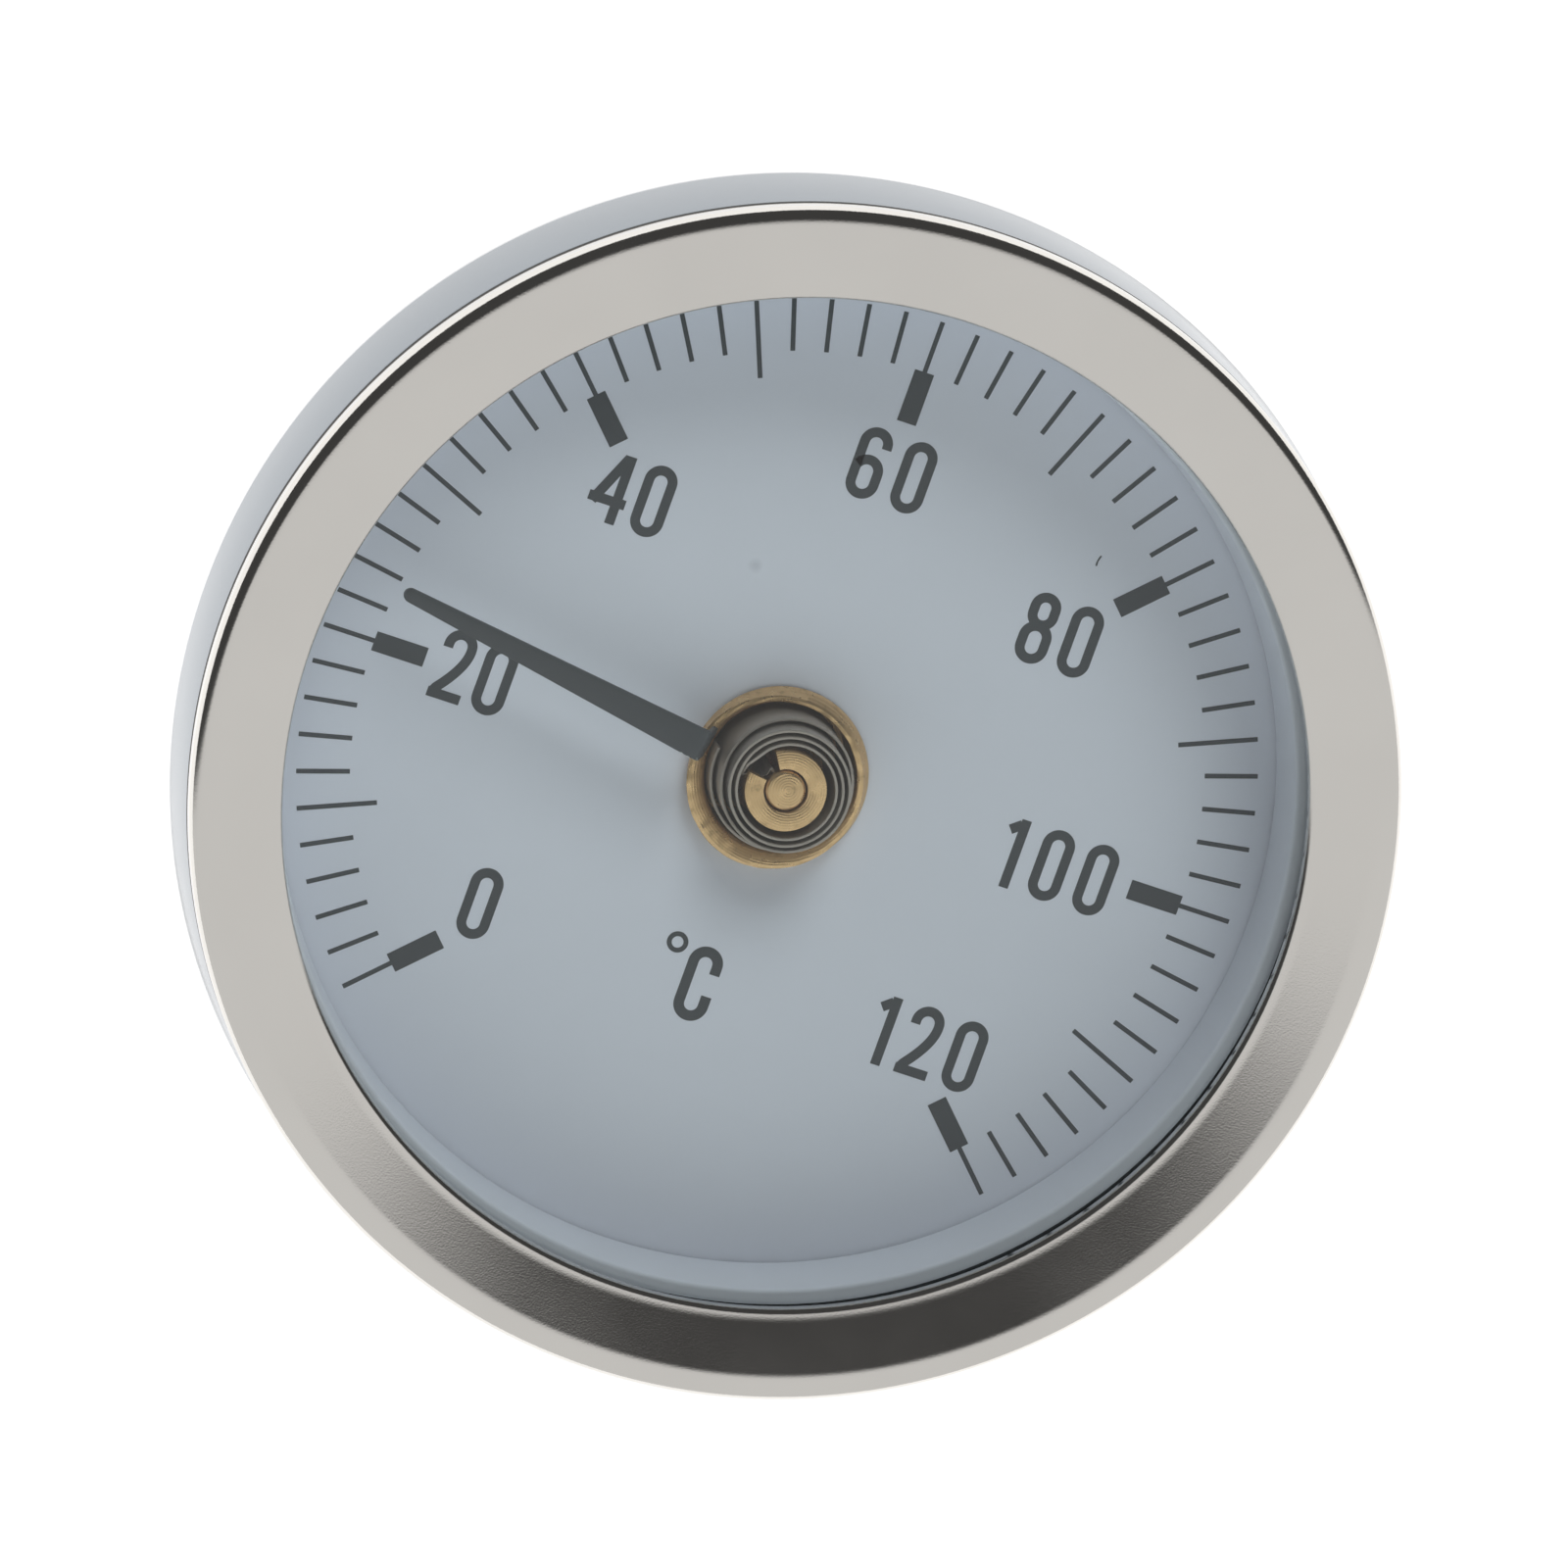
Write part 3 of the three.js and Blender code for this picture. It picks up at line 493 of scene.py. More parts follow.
def plated(name, colour, roughness, spread, grain, dent, shade_band=None, dirt=None, metal=1.0):
    """Plated sheet: a mirror-like skin blurred by the sheet's fine grain, a little duller in
    clouds where it has been handled. grain is the grain's width and dent its depth, in mm.
    The optional pair of heights in mm marks painted shade: from the first up to the second a dark band
    painted over the metal fades out."""
    material, tree, end, place = bare(name)
    broad = {"Vector": place, "Scale": per_mm(7), "Detail": 4.0}
    cloud = add(tree, "ShaderNodeTexNoise", broad).outputs["Fac"]
    short = {"Vector": place, "Scale": per_mm(grain), "Detail": 2.0, "Roughness": 0.6}
    fine = add(tree, "ShaderNodeTexNoise", short).outputs["Fac"]
    tints = {0: cloud, 6: tone(colour, 0.96), 7: tone(colour, 1.04)}
    paint = add(tree, "ShaderNodeMix", tints, data_type="RGBA").outputs[2]
    dull = {0: cloud, 1: 0.3, 2: 0.7, 3: roughness - spread, 4: roughness + spread}
    blur = add(tree, "ShaderNodeMapRange", dull).outputs[0]
    # painted shade: between the two heights the colour fades from the dark shade colour to the metal, and
    # below them the surface is dull and not metallic
    if shade_band:
        up = add(tree, "ShaderNodeSeparateXYZ", {"Vector": place}).outputs["Z"]
        fade = {0: up, 1: shade_band[0] * MM, 2: shade_band[1] * MM, 3: 0.0, 4: 1.0}
        metal = add(
            tree, "ShaderNodeMapRange", fade, interpolation_type="SMOOTHSTEP"
        ).outputs[0]
        over = {0: metal, 6: dirt, 7: paint}
        paint = add(tree, "ShaderNodeMix", over, data_type="RGBA").outputs[2]
        blur = add(tree, "ShaderNodeMix", {0: metal, 2: 0.8, 3: blur}).outputs[0]
    look = {"Base Color": paint, "Metallic": metal, "Roughness": blur}
    skinned(tree, end, fine, dent, look)
    return material


def turned_brass(colour):
    """Brass turned on a lathe: fine rings from the tool, small pits and darker tarnished spots."""
    material, tree, end, place = bare("brass_turned")
    pits = {"Vector": place, "Scale": per_mm(0.6), "Detail": 3.0, "Roughness": 0.6}
    spots = add(tree, "ShaderNodeTexNoise", pits).outputs["Fac"]
    feed = per_mm(0.14) * math.pi / 10  # a wave's rings lie pi/10 apart at scale 1
    wave = {"Vector": place, "Scale": feed, "Distortion": 1.5, "Detail": 2.0}
    rings = add(
        tree, "ShaderNodeTexWave", wave, wave_type="RINGS", rings_direction="Z"
    ).outputs["Fac"]
    ramp = add(tree, "ShaderNodeValToRGB", {"Fac": spots})
    tarnished, clean = ramp.color_ramp.elements
    tarnished.position, tarnished.color = 0.26, tone(colour, 0.68)
    clean.position, clean.color = 0.42, tone(colour, 1.0)
    rough = {0: spots, 1: 0.6, 2: rings}
    height = add(tree, "ShaderNodeMath", rough, operation="MULTIPLY_ADD").outputs[0]
    dull = add(tree, "ShaderNodeMapRange", {0: spots, 1: 0.35, 2: 0.65, 3: 0.45, 4: 0.24})
    look = {
        "Base Color": ramp.outputs["Color"],
        "Metallic": 0.85,
        "Roughness": dull.outputs[0],
    }
    skinned(tree, end, height, 0.008, look)
    return material


def coated(name, colour, roughness, grain, dent, uneven=0.06):
    """Paint, enamel, ink, plastic or rubber: an even colour that drifts a little in clouds, with
    the fine orange peel that the coat or the mould leaves."""
    material, tree, end, place = bare(name)
    broad = {"Vector": place, "Scale": per_mm(3), "Detail": 5.0}
    cloud = add(tree, "ShaderNodeTexNoise", broad).outputs["Fac"]
    short = {"Vector": place, "Scale": per_mm(grain), "Detail": 3.0}
    fine = add(tree, "ShaderNodeTexNoise", short).outputs["Fac"]
    tints = {0: cloud, 6: tone(colour, 1 - uneven), 7: tone(colour, 1 + uneven)}
    tint = add(tree, "ShaderNodeMix", tints, data_type="RGBA")
    dull = {0: fine, 1: 0.3, 2: 0.7, 3: roughness * 0.9, 4: min(1.0, roughness * 1.1)}
    blur = add(tree, "ShaderNodeMapRange", dull)
    look = {"Base Color": tint.outputs[2], "Roughness": blur.outputs[0], "IOR": 1.5}
    skinned(tree, end, fine, dent, look)
    return material


def chipped_paint(colour, bright):
    """Dark stoving paint on thin sheet: half matt, with bright chips where the edge was cut."""
    material = coated("black_paint_chipped", colour, 0.5, 0.25, 0.006)
    tree = material.node_tree
    skin = next(n for n in tree.nodes if n.type == "BSDF_PRINCIPLED")
    place = next(n for n in tree.nodes if n.type == "TEX_COORD").outputs["Object"]
    worn = add(tree, "ShaderNodeAttribute", attribute_name="worn").outputs["Fac"]
    small = {"Vector": place, "Scale": per_mm(0.3), "Detail": 2.0}
    flakes = add(tree, "ShaderNodeTexNoise", small).outputs["Fac"]
    both = add(tree, "ShaderNodeMath", {0: worn, 1: flakes}, operation="MULTIPLY")
    chip = add(tree, "ShaderNodeMapRange", {0: both.outputs[0], 1: 0.47, 2: 0.5, 3: 0.0, 4: 1.0})
    under = skin.inputs["Base Color"].links[0].from_socket
    layers = {0: chip.outputs[0], 6: under, 7: bright}
    mixed = add(tree, "ShaderNodeMix", layers, data_type="RGBA")
    tree.links.new(mixed.outputs[2], skin.inputs["Base Color"])
    return material


def window_glass():
    """Clear float glass: lets light through, mirrors about 4 percent head on and more towards
    grazing angles, but only from its outer side, with a trace of green and a faint dusty speck."""
    material, tree, end, place = bare("window_glass")
    fresnel = add(tree, "ShaderNodeFresnel", {"IOR": 1.5}).outputs["Fac"]
    inside = add(tree, "ShaderNodeNewGeometry").outputs["Backfacing"]
    outside = add(tree, "ShaderNodeMath", {0: 1.0, 1: inside}, operation="SUBTRACT").outputs[0]
    mirror = add(tree, "ShaderNodeMath", {0: fresnel, 1: outside}, operation="MULTIPLY")
    clear = add(tree, "ShaderNodeBsdfTransparent", {"Color": linear("#f8fbfb")})
    gloss = add(tree, "ShaderNodeBsdfGlossy", {"Color": (1, 1, 1, 1), "Roughness": 0.03})
    both = {0: mirror.outputs[0], 1: clear.outputs[0], 2: gloss.outputs[0]}
    pane = add(tree, "ShaderNodeMixShader", both)
    dust = add(tree, "ShaderNodeBsdfDiffuse", {"Color": linear("#7d8489")})
    spot = (-6.25 * MM, 11.14 * MM, high("window_glass") * MM)
    near = add(tree, "ShaderNodeVectorMath", {0: place, 1: spot}, operation="DISTANCE")
    speck = add(
        tree,
        "ShaderNodeMapRange",
        {0: near.outputs["Value"], 1: 0, 2: 0.5 * MM, 3: 0.18, 4: 0},
        interpolation_type="SMOOTHSTEP",
    )
    layers = {0: speck.outputs[0], 1: pane.outputs[0], 2: dust.outputs[0]}
    dusty = add(tree, "ShaderNodeMixShader", layers)
    tree.links.new(dusty.outputs[0], end.inputs["Surface"])
    return material


def bezel_nickel(c, s):
    """Thin nickel over satin steel: soft, slightly warm reflections with a visible fine grain,
    and a dark line of painted shade where the skirt meets the case."""
    foot = low("bezel_ring")
    # painted shade along the skirt's edge, beside the groove to the case
    shade_band = (foot + s.bezel_dirt, foot + s.bezel_shade_end)
    return plated("nickel_satin", c.nickel, 0.11, 0.02, 0.1, 0.0026, shade_band, c.dirt)


def case_zinc(c, s):
    """Bright zinc over drawn steel, with painted shade darkening its back corner."""
    # painted shade along the back corner
    shade_band = (s.case_dirt, s.case_shade_end)
    return plated("zinc_drawn", c.zinc, 0.16, 0.03, 0.3, 0.002, shade_band, c.dirt)


# each takes the colours and the case's sizes; the numbers are roughness, then its spread for a
# plated sheet, then the grain's width and depth in mm, and how uneven a coat's colour is
FINISHES = {
    "satin_nickel": bezel_nickel,
    "case_zinc": case_zinc,
    # bright zinc over bent steel: cooler and a little sharper
    "bright_zinc": lambda c, s: plated("zinc_bright", c.zinc, 0.16, 0.03, 0.3, 0.002),
    # drawn wire and blanked spring steel: darker, with a short grain
    "spring_steel": lambda c, s: plated("steel_spring", c.steel, 0.3, 0.05, 0.12, 0.004),
    # rolled strip: grey with straw-coloured faces, half covered by its oxide
    "bimetal_strip": lambda c, s: plated(
        "strip_rolled", c.strip, 0.42, 0.05, 0.1, 0.003, metal=0.5
    ),
    "turned_brass": lambda c, s: turned_brass(c.brass),
    # screen-printed ink: matt, nearly black
    "ink": lambda c, s: coated("ink_printed", c.black, 0.6, 0.12, 0.002, 0.08),
    "black_paint": lambda c, s: chipped_paint(c.black, c.chip),
    # stove enamel: smooth and half matt, with a very slight orange peel
    "dial_paint": lambda c, s: coated("enamel_white", c.dial, 0.5, 0.4, 0.002, 0.012),
    # moulded polystyrene: soft gloss
    "white_plastic": lambda c, s: coated("polystyrene_white", c.plastic, 0.4, 0.5, 0.004, 0.015),
    # cut rubber sheet: matt with a coarse skin
    "black_rubber": lambda c, s: coated("rubber_black", c.rubber, 0.8, 0.2, 0.02, 0.1),
    "window_glass": lambda c, s: window_glass(),
}
made_finishes = {}


def finish(name):
    """The finish of that name, made once."""
    if name not in made_finishes:
        scene = bpy.context.scene
        sizes = in_mm(scene.thermometer_case)
        made_finishes[name] = FINISHES[name](scene.thermometer_colours, sizes)
    return made_finishes[name]


# ---------------------------------------------------------------- case, bezel and window


class THERMOMETER_OT_case(bpy.types.Operator):
    """Drawn steel cup: flat back, round corner, tapered wall and a neck under the bezel"""

    bl_idname = "thermometer.case"
    bl_label = "Case"

    def execute(self, context):
        s = in_mm(context.scene.thermometer_case)
        outer, back, top = reach("case_shell"), low("case_shell"), high("case_shell")
        mouth = outer - s.taper
        neck = mouth - s.neck_step
        step = low("bezel_ring") - s.skirt_gap
        hole = in_mm(context.scene.thermometer_hub).shank + 0.1
        corner, sheet = s.corner_radius, s.sheet
        wall = outer - corner
        outside = np.vstack([
            [(hole, back)],
            arc(wall, back + corner, corner, -90, 0, 16),
            eased([(outer, back + corner), (mouth, step - 0.3), (neck, step), (neck, top)],
                  [0, 0.35, 0.3, 0], 4, False),
        ])
        inside = np.vstack([
            [(neck - sheet, top), (neck - sheet, step), (mouth - sheet, step - s.neck_step)],
            arc(wall, back + corner, corner - sheet, 0, -90, 12),
            [(hole, back + sheet)],
        ])
        piece("case_shell_drawn", [turned(np.vstack([outside, inside]))], finish("case_zinc"),
              "case_shell", merge=True)
        return {"FINISHED"}


class THERMOMETER_OT_bezel(bpy.types.Operator):
    """Pressed ring: rolled lip, slightly dished face, round shoulder and a short skirt"""

    bl_idname = "thermometer.bezel"
    bl_label = "Bezel"

    def execute(self, context):
        s = in_mm(context.scene.thermometer_case)
        outer, bottom, top = reach("bezel_ring"), low("bezel_ring"), high("bezel_ring")
        lip, shoulder, sheet = s.lip_radius, s.shoulder_radius, s.sheet
        tilt = math.degrees(s.tilt)
        fall = 84
        leave = np.array([math.cos(math.radians(fall)), math.sin(math.radians(fall))])
        shoulder_r = outer - shoulder
        shoulder_z = top - shoulder - (s.face_round - shoulder) * (1 - leave[1])
        centre = np.array([shoulder_r, shoulder_z]) - (s.face_round - shoulder) * leave
        face = arc(*centre, s.face_round, 90 + tilt, fall, 10)
        lip_r = outer - s.face_width + lip
        steep = np.array([1, math.tan(s.tilt)])
        level = np.array([1, math.tan(s.lip_tilt)])
        over = lip * np.array([-math.sin(s.lip_tilt), math.cos(s.lip_tilt)])
        run = face[0, 0] - (lip_r + over[0]) - s.lip_flat
        bend_start = face[0] - run * steep
        bend = bend_start - s.lip_flat / 2 * steep
        bend_end = bend - s.lip_flat / 2 * level
        lip_z = bend_end[1] - over[1]
        foot = high("window_glass") + 0.12
        profile = np.vstack([
            [(lip_r - lip, foot)],
            arc(lip_r, lip_z, lip, 180, 90 + math.degrees(s.lip_tilt), 14)[:-1],
            curve_through(bend_end, bend, bend_start, 8),
            face,
            arc(shoulder_r, shoulder_z, shoulder, fall, 0, 24)[1:],
            eased([(outer, shoulder_z), (outer, bottom), (outer - sheet, bottom),
                   (outer - sheet, shoulder_z)], [0, 0.15, 0.15, 0], 4, False)[1:],
            arc(shoulder_r, shoulder_z, shoulder - sheet, 0, fall, 12)[1:],
            [(lip_r + 0.25, foot + 0.1), (lip_r + 0.2, foot)],
        ])
        piece("bezel_ring_pressed", [turned(profile, 320)], finish("satin_nickel"),
              "bezel_ring", merge=True)
        return {"FINISHED"}


class THERMOMETER_OT_window(bpy.types.Operator):
    """Glass disc, the rubber ring under it and the white ring that holds it off the dial"""

    bl_idname = "thermometer.window"
    bl_label = "Window"

    def execute(self, context):
        s = in_mm(context.scene.thermometer_case)
        radius = reach("window_glass")
        bottom, top = low("window_glass"), high("window_glass")
        glass = eased([(0, bottom), (radius, bottom), (radius, top), (0, top)], 0.2, 3, False)
        piece("window_glass_disc", [turned(glass, closed=False)], finish("window_glass"),
              "window_glass", merge=True)
        bottom, top = low("window_gasket"), high("window_gasket")
        inner = reach("bezel_ring") - s.face_width + s.gasket_inset
        rubber = eased([(inner, bottom), (radius, bottom), (radius, top), (inner, top)], 0.2)
        piece("window_gasket_cut", [turned(rubber)], finish("black_rubber"),
              "window_gasket", merge=True)
        bottom, top = low("spacer_ring"), high("spacer_ring")
        foot = reach("bezel_ring") - s.face_width - s.spacer_show
        inner = foot + s.spacer_flare
        ring = eased([(foot, bottom), (radius, bottom), (radius, top), (inner, top)],
                     [0.12, 0.2, 0.2, 0.25])
        piece("spacer_ring_moulded", [turned(ring)], finish("white_plastic"),
              "spacer_ring", merge=True)
        return {"FINISHED"}


# ---------------------------------------------------------------- dial and print


def numeral(character, a, b):
    """Strokes of a condensed numeral about its middle, each a line of points and whether it is
    closed. a and b are half the width and height between line centres."""
    top = b - a
    bowl = a * 0.9
    strokes = {
        "0": [(np.vstack([arc(0, top, a, 0, 180, 20), arc(0, -top, a, 180, 360, 20)]), True)],
        "1": [([(0.0, -b - 0.24), (0.0, b + 0.16)], False),
              ([(-0.68, b - 0.56), (-0.16, b - 0.14)], False)],
        "2": [(np.vstack([[(-a, b - 0.84)], arc(0, top, a, 180, 0, 20),
                          curve_through((a, top), (a + 0.06, 0.1), (-a + 0.08, -b + 0.3), 12)[1:],
                          [(-a + 0.02, -b + 0.1)]]), False),
              ([(-a - 0.27, -b + 0.02), (a + 0.28, -b + 0.02)], False)],
        "4": [([(0.52, -b - 0.18), (0.52, b + 0.18)], False),
              ([(-1.0, -0.68), (1.0, -0.68)], False),
              ([(-0.75, -0.93), (0.42, b + 0.1)], False)],
        "6": [(np.vstack([[(a, b - 0.77)], arc(0, top, a, 0, 180, 20),
                          arc(0, -top, a, 180, 360, 20), arc(0, -0.45, a, 0, 155, 16)]), False)],
        "8": [(np.vstack([arc(0, b - bowl, bowl, 0, 180, 16),
                          arc(0, 0.18 + bowl, bowl, 180, 360, 16)]), True),
              (np.vstack([arc(0, 0.09 - a, a, 0, 180, 16), arc(0, -top, a, 180, 360, 16)]), True)],
        "C": [(np.vstack([[(a, b - 1.1)], arc(0, top, a, 0, 180, 20), arc(0, -top, a, 180, 360, 20),
                          [(a, -b + 1.23)]]), False)],
    }
    return strokes[character]


class THERMOMETER_OT_dial(bpy.types.Operator):
    """Enamelled dial disc with its printed scale, 0 to 120 degrees C"""

    bl_idname = "thermometer.dial"
    bl_label = "Dial"

    # where each numeral's middle lies on the dial, in mm
    NUMERALS = (
        ("0", -12.49, -11.40), ("2", -18.03, 0.06), ("0", -15.75, 0.03), ("4", -13.43, 11.51),
        ("0", -11.08, 11.52), ("6", -1.11, 16.98), ("0", 1.37, 16.98), ("8", 10.28, 11.555),
        ("0", 12.63, 11.555), ("1", 13.24, -0.08), ("0", 15.27, -0.10), ("0", 17.75, -0.10),
        ("1", 10.07, -11.11), ("2", 11.98, -11.12), ("0", 14.45, -11.14),
    )

    def execute(self, context):
        s = in_mm(context.scene.thermometer_dial)
        hub = in_mm(context.scene.thermometer_hub)
        bottom, top, radius = low("dial_plate"), high("dial_plate"), reach("dial_plate")
        hole = hub.tube + 0.02
        disc = eased([(hole, bottom), (radius, bottom), (radius, top), (hole, top)], 0.05, 2)
        piece("dial_disc", [turned(disc)], finish("dial_paint"), "dial_plate",
              merge=True)
        level = top + s.ink / 2 - 0.003

        def line(points, width, closed=False, layer=0):
            section = rectangle(width, s.ink, 0)
            lifted = at_height(points, level + layer * s.layer)
            return carried(lifted, section, (0, 0, 1), closed)

        def radial(reading, outer, inner, width, layer=0):
            angle = s.start - s.step * reading
            along = np.array([math.cos(angle), math.sin(angle)])
            return line([outer * along, inner * along], width, layer=layer)

        grids = []
        for reading in range(0, 121, 2):
            outer = s.mark_radius
            length = s.half_length if reading % 20 == 10 else s.mark_length
            grids.append(radial(reading, outer, outer - length, s.mark_width))
            if reading % 20 == 0:
                inner = outer - length - s.bar_length
                grids.append(radial(reading, outer - length + 0.02, inner, s.bar_width, 1))
        a, b = s.number_width / 2, s.number_height / 2
        for character, x, y in self.NUMERALS:
            for layer, (points, closed) in enumerate(numeral(character, a, b)):
                grids.append(line(np.array(points) + (x, y), s.stroke, closed, layer))
        # the unit under the middle: a slightly larger C with its small ring
        for points, closed in numeral("C", a + 0.03, b + 0.08):
            grids.append(line(np.array(points) + (-0.20, -11.85), s.stroke + 0.04, closed))
        grids.append(line(arc(-1.98, -10.09, 0.44, 0, 345, 23), 0.26, True))
        # a stray hair of ink
        grids.append(line(curve_through((12.02, 15.62), (11.98, 15.9), (12.1, 16.2), 4), 0.09))
        piece("dial_print", grids, finish("ink"))
        return {"FINISHED"}


# ---------------------------------------------------------------- hub


class THERMOMETER_OT_cup(bpy.types.Operator):
    """Brass contact cup with its rolled rim, the middle pin and the slotted collar"""

    bl_idname = "thermometer.cup"
    bl_label = "Brass hub"

    # unevenness of the rolled rim: waves round it, their height in mm and where they begin
    WOBBLE = ((3, 0.035, 0.7), (7, 0.02, 2.0), (17, 0.012, 0.0), (31, 0.008, 1.3))

    def execute(self, context):
        s = in_mm(context.scene.thermometer_hub)
        dial = high("dial_plate")
        back = low("case_shell")
        floor = s.cup_floor
        flange = reach("contact_cup")
        rim_top = high("contact_cup")
        under = dial + 0.1
        sharp = [
            (0, 0), (s.shank, 0), (s.shank, s.groove_low), (s.groove, s.groove_low),
            (s.groove, s.groove_high), (s.shank, s.groove_high), (s.shank, back + 0.6),
            (flange, back + 0.6), (flange, dial - 0.6), (s.tube, dial - 0.6), (s.tube, under),
            (s.rim - 0.1, under),
        ]
        body = eased(sharp, 0.12, 3, False)
        roll = np.vstack([
            arc(s.rim - 0.32, under + 0.2, 0.32, -40, 40, 5),
            arc(s.bore + 0.45, rim_top - 0.4, 0.4, 60, 165, 8),
        ])
        socket, socket_floor = s.pin + 0.1, 0.7
        bore = eased([(s.bore, rim_top - 0.5), (s.bore, floor), (socket, floor),
                      (socket, socket_floor), (0, socket_floor)], 0.08, 3, False)
        points, *joins = turned(np.vstack([body, roll, bore]), 192, False)
        radius = np.hypot(points[..., 0], points[..., 1])
        angle = np.arctan2(points[..., 1], points[..., 0])
        shown = np.clip((points[..., 2] - under) / (rim_top - under), 0, 1)
        shown = shown * (radius > s.bore - 0.01)
        wobble = sum(rise * np.sin(waves * angle + late) for waves, rise, late in self.WOBBLE)
        wide = np.clip(np.cos(angle - s.rim_wide_at), 0, 1) ** 2 * (radius > s.bore + 0.4)
        move = shown * (wobble * 0.6 + s.rim_extra * wide)
        scale = np.where(radius > 1e-6, 1 + np.maximum(move, 0) / np.maximum(radius, 1e-6), 1)
        points[..., 0] *= scale
        points[..., 1] *= scale
        outwards = shown * np.clip((radius - s.bore) / (s.tube - s.bore), 0, 1)
        points[..., 0] += outwards * s.rim_shift * math.cos(s.rim_side)
        points[..., 1] += outwards * s.rim_shift * math.sin(s.rim_side)
        points[..., 2] -= shown * np.abs(wobble) * 1.2
        piece("contact_cup_turned", [(points, *joins)], finish("turned_brass"),
              "contact_cup", merge=True)

        top = high("hub_pin")
        foot = low("hub_pin")
        pin = eased([(0, foot), (s.pin, foot), (s.pin, top - 0.12), (s.pin - 0.14, top - 0.02),
                     (0, top)], 0.04, 3, False)
        aside = s.hub_shift * np.array([math.cos(s.hub_side), math.sin(s.hub_side), 0])
        points, *joins = turned(pin, 64, False)
        piece("hub_pin_turned", [(points + aside, *joins)], finish("turned_brass"),
              "hub_pin", merge=True)

        inner = s.pin + 0.1
        height = high("hub_collar") - low("hub_collar")
        middle = (s.collar + inner) / 2
        half = math.degrees(s.slot_spread) / 2
        slot = math.degrees(s.slot_angle)
        path = at_height(arc(0, 0, middle, slot + half, slot - half + 360, 72),
                         low("hub_collar") + height / 2) + aside
        section = rectangle(s.collar - inner, height, 0.07)
        piece("hub_collar_slotted", [carried(path, section, (0, 0, 1))], finish("turned_brass"),
              "hub_collar")
        return {"FINISHED"}


class THERMOMETER_OT_spiral(bpy.types.Operator):
    """Two-metal strip on edge: a short tail in the slot, then a spiral out to the pointer"""

    bl_idname = "thermometer.spiral"
    bl_label = "Spiral strip"

    def execute(self, context):
        s = in_mm(context.scene.thermometer_hub)
        dial = in_mm(context.scene.thermometer_dial)
        top = high("bimetal_spiral")
        end_angle = dial.start - dial.step * dial.reading
        turns = s.strip_turns - (end_angle - s.slot_angle) / (2 * math.pi)
        t = np.linspace(0, turns, int(turns * 96))
        angle = s.slot_angle - 2 * np.pi * t
        radius = s.strip_start + s.strip_pitch * t
        spiral = np.stack([radius * np.cos(angle), radius * np.sin(angle)], axis=1)
        out = np.array([math.cos(s.slot_angle), math.sin(s.slot_angle)])
        tail = np.linspace(s.strip_tail, s.strip_start - 0.25, 8)[:, None] * out
        bend = curve_through(tail[-1], s.strip_start * out, spiral[3], 6)[1:-1]
        path = np.vstack([tail, bend, spiral[3:]])
        along = np.clip(1 - (turns - t[3:]) / s.sag_turns, 0, 1)
        drop = s.strip_sag * along**2 * (3 - 2 * along)
        sunk = s.tail_drop * np.linspace(1, 0, len(tail) + len(bend)) ** 0.5
        drop = np.concatenate([sunk, drop])
        height = top - (low("bimetal_spiral") + s.strip_sag)
        path = np.column_stack([path, top - height / 2 - drop])
        section = rectangle(s.strip_thickness, height, 0.03)
        grid = carried(path, section, (0, 0, 1))
        made = piece("bimetal_spiral_strip", [grid], finish("bimetal_strip"),
                     "bimetal_spiral", body=None)
        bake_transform(made, "case", "pointer", start=(0, 0, 0), end=(0, 0, top * MM))
        step = np.linalg.norm(np.diff(path, axis=0), axis=1)
        share = np.concatenate([[0], np.cumsum(step)]) / step.sum()
        set_share(made, np.repeat(share, section.shape[0]))
        return {"FINISHED"}


